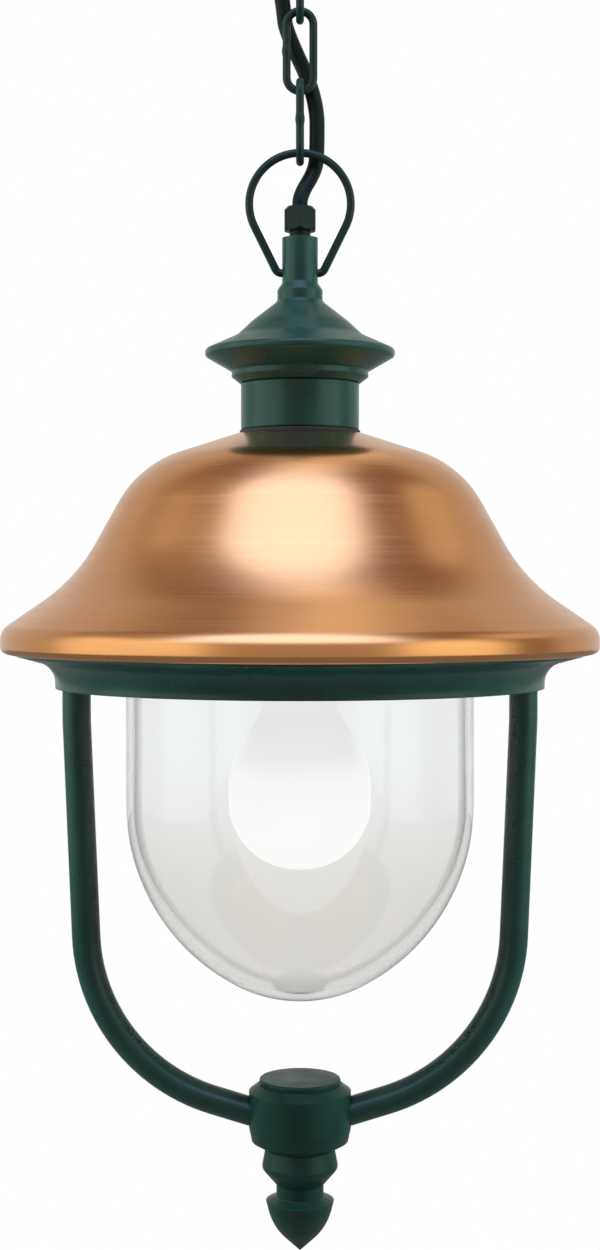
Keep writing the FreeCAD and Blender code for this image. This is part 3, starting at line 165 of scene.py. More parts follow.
canopy_light = 2.05
canopy_waist = 0.22
canopy_flare = 0.76
canopy_drift = 0.19
canopy_blur = 0.16
canopy_half = sum_of(room, "MULTIPLY_ADD", forward, canopy_flare, canopy_waist)
off_middle = sum_of(room, "ABSOLUTE", sum_of(room, "MULTIPLY_ADD", forward, canopy_drift, to_right))
past_edge = sum_of(room, "SUBTRACT", off_middle, canopy_half)
across = spread(room, past_edge, canopy_blur, -canopy_blur)
ahead = spread(room, to_back, 0.40, -0.32)
canopy = all_of(room, across, ahead, spread(room, to_top, 0.35, 0.75), canopy_light)

gap_light = 0.65
gap_middle = 0.084
off_gap = sum_of(room, "ABSOLUTE", sum_of(room, "SUBTRACT", to_right, gap_middle))
gap_across = spread(room, off_gap, 0.30, 0.03)
gap_behind = spread(room, to_back, -0.10, 0.20)
gap_glow = all_of(room, gap_across, gap_behind, spread(room, to_top, 0.60, 0.85), gap_light)

shown = back_wall
for part in (far_wall, front_wall, left_screen, right_screen, left_window, right_window, gap_glow):
    shown = sum_of(room, "ADD", shown, part)
white = (1.0, 1.0, 1.0)
fill_light = 0.16
dusk_light = 0.24
fill = room_light(white, fill_light)
dusk = room_light((1.0, 0.76, 0.62), dusk_light)
walls = room_light((0.96, 1.08, 1.04), shown)
daylight = room_light((0.70, 1.02, 1.75), canopy)
backdrop = room_light(white, 1.0)
lit_walls = add_node(room, "ShaderNodeAddShader", {0: walls, 1: dusk}).outputs[0]
reflected = add_node(room, "ShaderNodeAddShader", {0: lit_walls, 1: daylight}).outputs[0]
looked_at, mirrored = seen_directly(room)
shine = add_node(room, "ShaderNodeMixShader", {0: mirrored, 1: fill, 2: reflected}).outputs[0]
choose = add_node(room, "ShaderNodeMixShader", {0: looked_at, 1: shine, 2: backdrop}).outputs[0]
add_node(room, "ShaderNodeOutputWorld", {"Surface": choose})


def soft_panel(name, place, aim, width, height, watts):
    """A rectangular soft light at a place, facing a point. Metal and glass don't show it."""
    data = bpy.data.lights.new(name, "AREA")
    data.shape = "RECTANGLE"
    data.size = width
    data.size_y = height
    data.energy = watts
    panel = bpy.data.objects.new(name, data)
    panel.location = place
    panel.rotation_euler = (Vector(aim) - Vector(place)).to_track_quat("-Z", "Y").to_euler()
    panel.visible_glossy = False
    panel.visible_transmission = False
    scene.collection.objects.link(panel)


hood_front = (0.0, -0.08, -0.29)
lantern_middle = (0.0, 0.0, -0.3)
soft_panel("overhead_panel", (0.0, -0.55, 0.70), hood_front, width=1.5, height=0.55, watts=5.5)
soft_panel("left_panel", (-1.32, 0.02, -0.05), lantern_middle, width=0.5, height=1.2, watts=30.0)
soft_panel("right_panel", (1.32, -0.04, -0.05), lantern_middle, width=0.5, height=1.2, watts=31.0)

floor_half = 6.0
floor_height = -1.3
floor_corners = [
    (-floor_half, -floor_half, floor_height),
    (floor_half, -floor_half, floor_height),
    (floor_half, floor_half, floor_height),
    (-floor_half, floor_half, floor_height),
]
floor_mesh = bpy.data.meshes.new("studio_floor")
floor_mesh.from_pydata(floor_corners, [], [(0, 1, 2, 3)])
studio_floor = bpy.data.objects.new("studio_floor", floor_mesh)
scene.collection.objects.link(studio_floor)
sweep = bpy.data.materials.new("studio_sweep")
sweep.use_nodes = True
sweep_tree = sweep.node_tree
sweep_tree.nodes.clear()


def floor_light(strength):
    """White light from the floor, of a strength."""
    sockets = {"Color": (*white, 1.0), "Strength": strength}
    return add_node(sweep_tree, "ShaderNodeEmission", sockets).outputs[0]


sheen_light = 0.25
bounce_light = 0.2
pale = add_node(sweep_tree, "ShaderNodeBsdfDiffuse", {"Color": (0.85, 0.85, 0.85, 1.0)}).outputs[0]
glow = floor_light(1.0)
sheen = floor_light(sheen_light)
bounce = floor_light(bounce_light)
floor_looked_at, floor_mirrored = seen_directly(sweep_tree)
lit_floor = add_node(sweep_tree, "ShaderNodeAddShader", {0: pale, 1: bounce}).outputs[0]
unseen_floor = {0: floor_mirrored, 1: lit_floor, 2: sheen}
either = add_node(sweep_tree, "ShaderNodeMixShader", unseen_floor).outputs[0]
whole_floor = {0: floor_looked_at, 1: either, 2: glow}
shown_floor = add_node(sweep_tree, "ShaderNodeMixShader", whole_floor).outputs[0]
add_node(sweep_tree, "ShaderNodeOutputMaterial", {"Surface": shown_floor})
floor_mesh.materials.append(sweep)


# The ceiling bracket: a bar of steel bent to a flat hat, zinc plated, screwed to the ceiling through
# its two feet. It carries the eye bolt and hides inside the rose.
def new_finish(name, **constants):
    """A material with one Principled surface whose constant sockets are set by name, spaces as _."""
    finish = bpy.data.materials.new(name)
    finish.use_nodes = True
    tree = finish.node_tree
    surface = tree.nodes["Principled BSDF"]
    for key, constant in constants.items():
        surface.inputs[key.replace("_", " ")].default_value = constant
    return finish, tree, surface


def new_effect(name, sizes, outputs):
    """A shader node group with a number input for each size and a socket for each output."""
    effect = bpy.data.node_groups.new(name, "ShaderNodeTree")
    for label, size in sizes.items():
        socket = effect.interface.new_socket(label, in_out="INPUT", socket_type="NodeSocketFloat")
        socket.default_value = size
    for label, kind in outputs.items():
        effect.interface.new_socket(label, in_out="OUTPUT", socket_type=kind)
    given = add_node(effect, "NodeGroupInput").outputs
    return effect, given, add_node(effect, "NodeGroupOutput")


def use_effect(tree, effect, **sizes):
    """Place a shader node group in a material, with its own sizes."""
    placed = add_node(tree, "ShaderNodeGroup", node_tree=effect)
    for key, size in sizes.items():
        placed.inputs[key.replace("_", " ")].default_value = size
    return placed.outputs


def noise(tree, scale, detail=2.0, vector=None):
    """The value of a noise over the piece's own coordinates, or over another vector."""
    over = vector or add_node(tree, "ShaderNodeTexCoord").outputs["Object"]
    sockets = {"Vector": over, "Scale": scale, "Detail": detail}
    return add_node(tree, "ShaderNodeTexNoise", sockets).outputs[0]


def blend_colour(tree, share, first, second):
    """A colour between two, each a socket or three numbers, by a share from 0 to 1."""
    colours = [c if isinstance(c, bpy.types.NodeSocket) else (*c, 1.0) for c in (first, second)]
    # Inputs 6 and 7 and output 2 are the Mix node's colours.
    mixed = add_node(tree, "ShaderNodeMix", {0: share, 6: colours[0], 7: colours[1]}, data_type="RGBA")
    return mixed.outputs[2]


def raise_surface(tree, surface, height, strength, depth, normal=None):
    """Give a surface relief from a height, of a strength and a depth in metres."""
    sockets = {"Height": height, "Strength": strength, "Distance": depth}
    if normal is not None:
        sockets["Normal"] = normal
    tree.links.new(add_node(tree, "ShaderNodeBump", sockets).outputs[0], surface.inputs["Normal"])


def dress(finish, *names):
    """Give CAD nodes a finish."""
    for name in names:
        for material_slot in frame["nodes"][name].material_slots:
            material_slot.material = finish


edge_wear, edge_given, edge_end = new_effect(
    "edge_wear", {"Radius": 0.0006}, {"Edge": "NodeSocketFloat", "Normal": "NodeSocketVector"}
)
rounded = add_node(edge_wear, "ShaderNodeBevel", {"Radius": edge_given["Radius"]}, samples=4).outputs[0]
true_normal = add_node(edge_wear, "ShaderNodeNewGeometry").outputs["Normal"]
agreement = toward(edge_wear, rounded, true_normal)
edge_wear.links.new(spread(edge_wear, agreement, 0.97, 0.75), edge_end.inputs["Edge"])
edge_wear.links.new(rounded, edge_end.inputs["Normal"])

zinc, zinc_tree, zinc_surface = new_finish("zinc_plate", Metallic=1.0)
zinc_edge = use_effect(zinc_tree, edge_wear, Radius=0.0004)
zinc_cloud = noise(zinc_tree, 160.0, 4.0)
zinc_colour = blend_colour(zinc_tree, zinc_cloud, (0.50, 0.50, 0.47), (0.66, 0.66, 0.63))
zinc_colour = blend_colour(zinc_tree, zinc_edge["Edge"], zinc_colour, (0.74, 0.74, 0.72))
zinc_tree.links.new(zinc_colour, zinc_surface.inputs["Base Color"])
zinc_tree.links.new(spread(zinc_tree, zinc_cloud, 0.2, 0.8, 0.28, 0.46), zinc_surface.inputs["Roughness"])
raise_surface(zinc_tree, zinc_surface, noise(zinc_tree, 1400.0), 0.08, 0.0002, zinc_edge["Normal"])
dress(zinc, "ceiling_bracket", "eye_nuts")


# The ceiling rose: a cup of cast aluminium under the ceiling, painted dark green, that covers the
# bracket and the connections. The eye bolt's nut holds it up.
cast_skin, skin_given, skin_end = new_effect(
    "cast_skin",
    {"Mottle Scale": 42.0, "Grain Scale": 900.0},
    {"Mottle": "NodeSocketFloat", "Grain": "NodeSocketFloat", "Dust": "NodeSocketFloat"},
)
mottle = noise(cast_skin, skin_given["Mottle Scale"], 5.0)
skin_normal = add_node(cast_skin, "ShaderNodeNewGeometry").outputs["Normal"]
skin_rise = add_node(cast_skin, "ShaderNodeSeparateXYZ", {0: skin_normal}).outputs["Z"]
upward = spread(cast_skin, skin_rise, 0.35, 0.95)
settled = sum_of(cast_skin, "MULTIPLY", upward, spread(cast_skin, noise(cast_skin, 130.0, 6.0), 0.35, 0.75))
cast_skin.links.new(spread(cast_skin, mottle, 0.3, 0.7), skin_end.inputs["Mottle"])
cast_skin.links.new(noise(cast_skin, skin_given["Grain Scale"], 2.0), skin_end.inputs["Grain"])
cast_skin.links.new(settled, skin_end.inputs["Dust"])


def green_finish(name, deep, pale, gloss, roughness, grain):
    """Dark green stoving paint: mottled, thinner on the edges and dusty on what faces up."""
    finish, tree, surface = new_finish(name, Specular_IOR_Level=gloss)
    skin = use_effect(tree, cast_skin)
    edge = use_effect(tree, edge_wear, Radius=0.0007)
    colour = blend_colour(tree, skin["Mottle"], deep, pale)
    worn = sum_of(tree, "MULTIPLY", edge["Edge"], 0.35)
    colour = blend_colour(tree, worn, colour, (0.020, 0.075, 0.066))
    dust = sum_of(tree, "MULTIPLY", skin["Dust"], 0.025)
    colour = blend_colour(tree, dust, colour, (0.30, 0.32, 0.29))
    tree.links.new(colour, surface.inputs["Base Color"])
    matt = sum_of(tree, "MULTIPLY_ADD", skin["Mottle"], 0.10, roughness)
    dusty = sum_of(tree, "MULTIPLY_ADD", skin["Dust"], 0.12, matt)
    tree.links.new(dusty, surface.inputs["Roughness"])
    raise_surface(tree, surface, skin["Grain"], grain, 0.0003, edge["Normal"])
    return finish


green_paint = green_finish(
    "green_paint",
    deep=(0.0045, 0.0340, 0.0262),
    pale=(0.0075, 0.0430, 0.0340),
    gloss=0.38,
    roughness=0.24,
    grain=0.12,
)
dress(green_paint, "ceiling_rose")
# The pieces at the ceiling stay out of what the hood mirrors.
for name in ("ceiling_bracket", "ceiling_rose", "eye_bolt", "eye_nuts", "cable_grommet", "connector_block"):
    frame["nodes"][name].visible_glossy = False


# The eye bolt: steel rod bent to a ring below the rose, painted as the chain is. Its shank goes up
# through rose and bracket, with a nut below and one above.
wire_green = green_finish(
    "wire_green",
    deep=(0.0030, 0.0160, 0.0135),
    pale=(0.0060, 0.0230, 0.0200),
    gloss=0.28,
    roughness=0.26,
    grain=0.06,
)
dress(wire_green, "eye_bolt")


# In the rose: a rubber grommet round the cable, a screw connector of white plastic, and the cable's
# three cores, brown, blue and green with yellow, that run up into it.
def plain_finish(name, dark, light, roughness, scale, grain, **constants):
    """A moulded or rubber surface: one colour with slight clouds, fine grain and soft edges."""
    finish, tree, surface = new_finish(name, **constants)
    edge = use_effect(tree, edge_wear, Radius=0.0005)
    cloud = noise(tree, scale, 4.0)
    colour = blend_colour(tree, cloud, dark, light)
    colour = blend_colour(tree, sum_of(tree, "MULTIPLY", edge["Edge"], 0.3), colour, light)
    tree.links.new(colour, surface.inputs["Base Color"])
    tree.links.new(spread(tree, cloud, 0.2, 0.8, roughness, roughness + 0.1), surface.inputs["Roughness"])
    raise_surface(tree, surface, noise(tree, 1800.0), grain, 0.0002, edge["Normal"])
    return finish


rubber = plain_finish(
    "black_rubber",
    dark=(0.010, 0.010, 0.010),
    light=(0.020, 0.020, 0.019),
    roughness=0.55,
    scale=90.0,
    grain=0.12,
)
white_plastic = plain_finish(
    "white_plastic",
    dark=(0.78, 0.78, 0.75),
    light=(0.86, 0.86, 0.83),
    roughness=0.38,
    scale=60.0,
    grain=0.06,
)
dress(rubber, "cable_grommet")
dress(white_plastic, "connector_block")

core_finish, core_tree, core_surface = new_finish("core_insulation", Roughness=0.42)
core_number = add_node(core_tree, "ShaderNodeAttribute", attribute_name="core").outputs["Fac"]
stripe_wave = add_node(core_tree, "ShaderNodeTexWave", {"Scale": 90.0}, bands_direction="DIAGONAL")
stripe = spread(core_tree, stripe_wave.outputs[1], 0.55, 0.65)
striped = blend_colour(core_tree, stripe, (0.04, 0.25, 0.05), (0.75, 0.62, 0.05))
is_blue = sum_of(core_tree, "GREATER_THAN", core_number, 0.5)
is_striped = sum_of(core_tree, "GREATER_THAN", core_number, 1.5)
core_colour = blend_colour(core_tree, is_blue, (0.16, 0.06, 0.025), (0.02, 0.10, 0.42))
core_colour = blend_colour(core_tree, is_striped, core_colour, striped)
core_tree.links.new(core_colour, core_surface.inputs["Base Color"])
raise_surface(core_tree, core_surface, noise(core_tree, 1500.0), 0.05, 0.0002)


def add_piece(name, mesh, finish, body, slot, *replaced):
    """Put a finished mesh into the scene as a piece that rides on a body and stands for CAD nodes."""
    mesh.materials.clear()
    mesh.materials.append(finish)
    piece = bpy.data.objects.new(name, mesh)
    scene.collection.objects.link(piece)
    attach(piece, body)
    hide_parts(*replaced)
    return piece


def numbered_cores(name, node, body):
    """A copy of a node's wires with each core numbered from left to right, so that it gets its colour."""
    mesh = frame["nodes"][node].data.copy()
    shape = bmesh.new()
    shape.from_mesh(mesh)
    bmesh.ops.remove_doubles(shape, verts=shape.verts, dist=1e-6)
    layer = shape.faces.layers.float.new("core")
    cores, left = [], set(shape.faces)
    while left:
        found, waiting = set(), [left.pop()]
        while waiting:
            face = waiting.pop()
            found.add(face)
            near = {f for e in face.edges for f in e.link_faces} & left
            left -= near
            waiting.extend(near)
        cores.append(found)
    cores.sort(key=lambda faces: sum(f.calc_center_median().x for f in faces) / len(faces))
    for number, faces in enumerate(cores):
        for face in faces:
            face[layer] = number
            face.smooth = True
    shape.to_mesh(mesh)
    shape.free()
    return add_piece(name, mesh, core_finish, body, "core_sheath", node)


numbered_cores("rose_cores", "rose_wires", "ceiling").visible_glossy = False


# The chain: three oval links of round steel wire, each bent and closed with a weld in one side,
# painted dark green. The middle one stands across the other two.
def finish_mesh(tree, geometry, finish):
    """End a tree: smooth faces with sharp folds, real geometry and the finish."""
    smooth = add_node(tree, "GeometryNodeSetShadeSmooth", {"Geometry": geometry}).outputs[0]
    fold = add_node(tree, "GeometryNodeInputMeshEdgeAngle").outputs["Unsigned Angle"]
    sharpest_smooth = math.radians(38.0)
    sharp = sum_of(tree, "GREATER_THAN", fold, sharpest_smooth)
    creased = add_node(
        tree,
        "GeometryNodeStoreNamedAttribute",
        {"Geometry": smooth, "Name": "sharp_edge", "Value": sharp},
        data_type="BOOLEAN",
        domain="EDGE",
    ).outputs[0]
    real = add_node(tree, "GeometryNodeRealizeInstances", {"Geometry": creased}).outputs[0]
    done = add_node(tree, "GeometryNodeSetMaterial", {"Geometry": real, "Material": finish}).outputs[0]
    add_node(tree, "NodeGroupOutput", {0: done})


def point_value(tree, name):
    """The number that each corner of a line carries under a name."""
    return add_node(tree, "GeometryNodeInputNamedAttribute", {"Name": name}, data_type="FLOAT").outputs[0]


def rod_tree():
    """Geometry nodes that turn a line of corners into a round rod bent at its corners."""
    tree = bpy.data.node_groups.new("Bent rod", "GeometryNodeTree")
    tree.interface.new_socket("Line", in_out="INPUT", socket_type="NodeSocketGeometry")
    rod_inputs = {"Diameter": "Float", "Sides": "Int", "Bend Steps": "Int", "Finish": "Material"}
    for label, kind in rod_inputs.items():
        tree.interface.new_socket(label, in_out="INPUT", socket_type="NodeSocket" + kind)
    tree.interface.new_socket("Rod", in_out="OUTPUT", socket_type="NodeSocketGeometry")
    given = add_node(tree, "NodeGroupInput").outputs
    line = add_node(tree, "GeometryNodeMeshToCurve", {"Mesh": given["Line"]}).outputs[0]
    bent_sockets = {"Curve": line, "Radius": point_value(tree, "bend"), "Count": given["Bend Steps"]}
    bent = add_node(tree, "GeometryNodeFilletCurve", bent_sockets, mode="POLY").outputs[0]
    radius = sum_of(tree, "DIVIDE", given["Diameter"], 2.0)
    round_sockets = {"Resolution": given["Sides"], "Radius": radius}
    section = add_node(tree, "GeometryNodeCurvePrimitiveCircle", round_sockets).outputs[0]
    swept_sockets = {"Curve": bent, "Profile Curve": section, "Fill Caps": True}
    swept = add_node(tree, "GeometryNodeCurveToMesh", swept_sockets).outputs[0]
    whole = add_node(tree, "GeometryNodeMergeByDistance", {"Geometry": swept, "Distance": 1e-6}).outputs[0]
    outward = add_node(tree, "GeometryNodeInputNormal").outputs[0]
    lift_sockets = {0: outward, "Scale": point_value(tree, "swell")}
    lift = add_node(tree, "ShaderNodeVectorMath", lift_sockets, operation="SCALE").outputs[0]
    welded = add_node(tree, "GeometryNodeSetPosition", {"Geometry": whole, "Offset": lift}).outputs[0]
    finish_mesh(tree, welded, given["Finish"])
    return tree


def made_by(tree, name, corners, closed, attributes, sizes):
    """The mesh that a tree makes of a line of corners in metres, with its sizes set by name."""
    line = bpy.data.meshes.new(name)
    edges = [(i, i + 1) for i in range(len(corners) - 1)]
    if closed:
        edges.append((len(corners) - 1, 0))
    line.from_pydata(corners, edges, [])
    for label, values in attributes.items():
        line.attributes.new(label, "FLOAT", "POINT").data.foreach_set("value", values)
    shaper = bpy.data.objects.new(name + "_line", line)
    scene.collection.objects.link(shaper)
    modifier = shaper.modifiers.new("shape", "NODES")
    modifier.node_group = tree
    for item in tree.interface.items_tree:
        if item.in_out == "INPUT" and item.name in sizes:
            modifier[item.identifier] = sizes[item.name]
    mesh = bpy.data.meshes.new_from_object(shaper.evaluated_get(bpy.context.evaluated_depsgraph_get()))
    mesh.name = name
    bpy.data.objects.remove(shaper)
    bpy.data.meshes.remove(line)
    return mesh


bent_rod = rod_tree()
MM = 0.001
link_wire = 3.4
link_half = 5.6
weld_swell = {-2.6: 0.0, -1.7: 0.10, -0.9: 0.26, 0.0: 0.32, 0.9: 0.26, 1.7: 0.10, 2.6: 0.0}


def chain_link(name, node, body, top, foot, across):
    """One link between its top and foot, in the plane of the photo or across it."""
    # Each corner holds its place across and up, the bend there and how far the weld swells, in mm.
    middle = (top + foot) / 2
    around = [(link_half, top, link_half, 0.0), (link_half, foot, link_half, 0.0)]
    around += [(-link_half, foot, link_half, 0.0)]
    around += [(-link_half, middle + step, 0.0, swell) for step, swell in weld_swell.items()]
    around += [(-link_half, top, link_half, 0.0)]
    corners = [(0.0, u * MM, z * MM) if across else (u * MM, 0.0, z * MM) for u, z, _, _ in around]
    attributes = {"bend": [c[2] * MM for c in around], "swell": [c[3] * MM for c in around]}
    sizes = {"Diameter": link_wire * MM, "Sides": 20, "Bend Steps": 18, "Finish": wire_green}
    mesh = made_by(bent_rod, name, corners, closed=True, attributes=attributes, sizes=sizes)
    add_piece(name, mesh, wire_green, body, "green_steel", node)


first_link_top = -44.3
link_height = 33.2
link_pitch = 29.5
for number, place in enumerate(("upper", "middle", "lower")):
    link_top = first_link_top - number * link_pitch
    chain_link(
        f"{place}_chain_link",
        f"{place}_link",
        f"chain_{place}",
        top=link_top,
        foot=link_top - link_height,
        across=place != "middle",
    )


# The cable: black round sheath, threaded along the chain from the rose to the gland. Each stretch
# goes with the link beside it when the lamp swings.
sheath, sheath_tree, sheath_surface = new_finish("cable_sheath", Specular_IOR_Level=0.15)
scuff = spread(sheath_tree, noise(sheath_tree, 220.0, 5.0), 0.45, 0.75)
sheath_colour = blend_colour(sheath_tree, scuff, (0.003, 0.008, 0.006), (0.006, 0.014, 0.012))
sheath_tree.links.new(sheath_colour, sheath_surface.inputs["Base Color"])
sheath_tree.links.new(spread(sheath_tree, scuff, 0.0, 1.0, 0.40, 0.52), sheath_surface.inputs["Roughness"])
raise_surface(sheath_tree, sheath_surface, noise(sheath_tree, 700.0, 3.0), 0.15, 0.0002)
sheath_radius = 0.00325
cable_route = [
    ((-0.0115, 0.0062, -0.0203), "ceiling"),
    ((-0.0115, 0.0062, -0.0340), "ceiling"),
    ((-0.0096, 0.0066, -0.0520), "chain_upper"),
    ((-0.0068, 0.0072, -0.0720), "chain_upper"),
    ((-0.0060, 0.0074, -0.0800), "chain_upper"),
    ((0.0072, 0.0076, -0.1080), "chain_lower"),
    ((0.0072, 0.0068, -0.1310), "chain_lower"),
    ((0.0064, 0.0060, -0.1390), "chain_lower"),
    ((0.0000, 0.0000, -0.1505), "lantern"),
    ((0.0000, 0.0000, -0.1570), "lantern"),
    ((0.0000, 0.0000, -0.1700), "lantern"),
]
cable_curve = bpy.data.curves.new("supply_cable_sheath", "CURVE")
cable_curve.dimensions = "3D"
cable_curve.bevel_depth = 1.0
cable_curve.bevel_resolution = 5
cable_curve.resolution_u = 16
cable_curve.use_fill_caps = True
cable_spline = cable_curve.splines.new("NURBS")
cable_spline.points.add(len(cable_route) - 1)
for point, (place, _) in zip(cable_spline.points, cable_route):
    point.co = (*place, 1.0)
    point.radius = sheath_radius
cable_spline.order_u = 3
cable_spline.use_endpoint_u = True
cable_curve.materials.append(sheath)
cable = bpy.data.objects.new("supply_cable_sheath", cable_curve)
scene.collection.objects.link(cable)
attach(cable, "ceiling")
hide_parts("supply_cable")
for number, (_, body) in enumerate(cable_route):
    if body != "ceiling":
        hook = cable.modifiers.new(f"point_{number}_with_{body}", "HOOK")
        hook.object = frame["bodies"][body]
        hook.vertex_indices_set([number])
        hook.matrix_inverse = frame["bodies"][body].matrix_world.inverted()


# The hanging ring: one length of steel wire bent to a loop, its two ends turned inward as pins that
# swing in the cap's stem. Painted dark green.
ring_wire = 3.4
ring_centre = -154.1
ring_radius = 21.3
ring_pivot = -183.0
ring_foot = 9.5
ring_pin = 5.4
ring_foot_bend = 3.0
ring_span = math.hypot(ring_foot, ring_centre - ring_pivot)
ring_start = math.atan2(ring_pivot - ring_centre, ring_foot) + math.acos(ring_radius / ring_span)
ring_corners = 12
ring_step = (math.pi - 2 * ring_start) / ring_corners
ring_out = ring_radius / math.cos(ring_step / 2)
ring_line = [(ring_pin, ring_pivot, 0.0), (ring_foot, ring_pivot, ring_foot_bend)]
for number in range(ring_corners):
    angle = ring_start + (number + 0.5) * ring_step
    ring_line.append((ring_out * math.cos(angle), ring_centre + ring_out * math.sin(angle), ring_radius))
ring_line += [(-ring_foot, ring_pivot, ring_foot_bend), (-ring_pin, ring_pivot, 0.0)]
ring_mesh = made_by(
    bent_rod,
    "hanging_loop",
    [(x * MM, 0.0, z * MM) for x, z, _ in ring_line],
    closed=False,
    attributes={"bend": [c[2] * MM for c in ring_line]},
    sizes={"Diameter": ring_wire * MM, "Sides": 24, "Bend Steps": 8, "Finish": wire_green},
)
add_piece("hanging_loop", ring_mesh, wire_green, "ring", "green_steel", "hanging_ring")


# The cable gland on the cap's stem: a body and a hexagon nut of dark plastic that squeeze a rubber
# seal round the cable.
dark_plastic = plain_finish(
    "dark_plastic",
    dark=(0.004, 0.010, 0.008),
    light=(0.008, 0.017, 0.014),
    roughness=0.36,
    scale=80.0,
    grain=0.10,
    Specular_IOR_Level=0.2,
)
dress(dark_plastic, "gland_body", "gland_nut")
dress(rubber, "gland_seal")


# The cap: one aluminium casting with the stem, a stepped roof, a brim and a cornice, painted dark
# green. The threaded tube below draws it down on the neck, a turned tube in the same paint.
dress(green_paint, "cap", "neck")
dress(rubber, "hood_seal")


# The hood: a bell spun from copper sheet over a former, polished and lacquered, with its edge turned
# under. The tube's nut clamps its flat top under the neck.
def turning_tree():
    """Geometry nodes that turn a profile of corners (radius, 0, height) about the upright axis."""
    tree = bpy.data.node_groups.new("Turned form", "GeometryNodeTree")
    tree.interface.new_socket("Profile", in_out="INPUT", socket_type="NodeSocketGeometry")
    for label, kind in (("Sides", "Int"), ("Corner Steps", "Int"), ("Finish", "Material")):
        tree.interface.new_socket(label, in_out="INPUT", socket_type="NodeSocket" + kind)
    tree.interface.new_socket("Form", in_out="OUTPUT", socket_type="NodeSocketGeometry")
    given = add_node(tree, "NodeGroupInput").outputs
    line = add_node(tree, "GeometryNodeMeshToCurve", {"Mesh": given["Profile"]}).outputs[0]
    eased_sockets = {"Curve": line, "Radius": point_value(tree, "round"), "Count": given["Corner Steps"]}
    eased = add_node(tree, "GeometryNodeFilletCurve", eased_sockets, mode="POLY").outputs[0]
    here = add_node(tree, "GeometryNodeInputPosition").outputs[0]
    place = add_node(tree, "ShaderNodeSeparateXYZ", {0: here}).outputs
    from_circle = sum_of(tree, "SUBTRACT", place["X"], 1.0)
    downward = sum_of(tree, "MULTIPLY", place["Z"], -1.0)
    laid = add_node(tree, "ShaderNodeCombineXYZ", {"X": from_circle, "Y": downward}).outputs[0]
    profile = add_node(tree, "GeometryNodeSetPosition", {"Geometry": eased, "Position": laid}).outputs[0]
    circle_sockets = {"Resolution": given["Sides"], "Radius": 1.0}
    circle = add_node(tree, "GeometryNodeCurvePrimitiveCircle", circle_sockets).outputs[0]
    turned_sockets = {"Curve": circle, "Profile Curve": profile}
    turned = add_node(tree, "GeometryNodeCurveToMesh", turned_sockets).outputs[0]
    whole = add_node(tree, "GeometryNodeMergeByDistance", {"Geometry": turned, "Distance": 1e-6}).outputs[0]
    finish_mesh(tree, whole, given["Finish"])
    return tree


turned_form = turning_tree()


def turned_shell(name, corners, wall, sides, steps, finish):
    """A turned sheet of one thickness: its outer face from (radius, height, rounding) corners in mm."""
    profile = [(r * MM, 0.0, z * MM) for r, z, _ in corners]
    sizes = {"Sides": sides, "Corner Steps": steps, "Finish": finish}
    attributes = {"round": [c[2] * MM for c in corners]}
    mesh = made_by(turned_form, name, profile, closed=False, attributes=attributes, sizes=sizes)
    shape = bmesh.new()
    shape.from_mesh(mesh)
    bmesh.ops.remove_doubles(shape, verts=shape.verts, dist=1e-6)
    bmesh.ops.recalc_face_normals(shape, faces=shape.faces)
    widest = max(shape.faces, key=lambda face: math.hypot(*face.calc_center_median().xy))
    if widest.normal.xy.dot(widest.calc_center_median().xy) < 0.0:
        bmesh.ops.reverse_faces(shape, faces=shape.faces)
    shape.to_mesh(mesh)
    shape.free()
    shell = bpy.data.objects.new(name + "_shell", mesh)
    scene.collection.objects.link(shell)
    solidify = shell.modifiers.new("wall", "SOLIDIFY")
    solidify.thickness = wall * MM
    solidify.offset = -1.0
    solidify.use_even_offset = True
    walled = bpy.data.meshes.new_from_object(shell.evaluated_get(bpy.context.evaluated_depsgraph_get()))
    walled.name = name
    bpy.data.objects.remove(shell)
    bpy.data.meshes.remove(mesh)
    return walled


spun_rings, ring_given, rings_end = new_effect(
    "spun_rings",
    {"Line Scale": 900.0, "Wave Scale": 70.0},
    {"Line": "NodeSocketFloat", "Wave": "NodeSocketFloat"},
)
ring_place = add_node(spun_rings, "ShaderNodeTexCoord").outputs["Object"]
ring_split = add_node(spun_rings, "ShaderNodeSeparateXYZ", {0: ring_place}).outputs
across_x = sum_of(spun_rings, "MULTIPLY", ring_split["X"], ring_split["X"])
across_y = sum_of(spun_rings, "MULTIPLY", ring_split["Y"], ring_split["Y"])
from_axis = sum_of(spun_rings, "SQRT", sum_of(spun_rings, "ADD", across_x, across_y))
ring_sockets = {"X": from_axis, "Y": ring_split["Z"]}
ring_vector = add_node(spun_rings, "ShaderNodeCombineXYZ", ring_sockets).outputs[0]
ring_lines = noise(spun_rings, ring_given["Line Scale"], 3.0, ring_vector)
ring_waves = noise(spun_rings, ring_given["Wave Scale"], 1.0, ring_vector)
spun_rings.links.new(ring_lines, rings_end.inputs["Line"])
spun_rings.links.new(ring_waves, rings_end.inputs["Wave"])

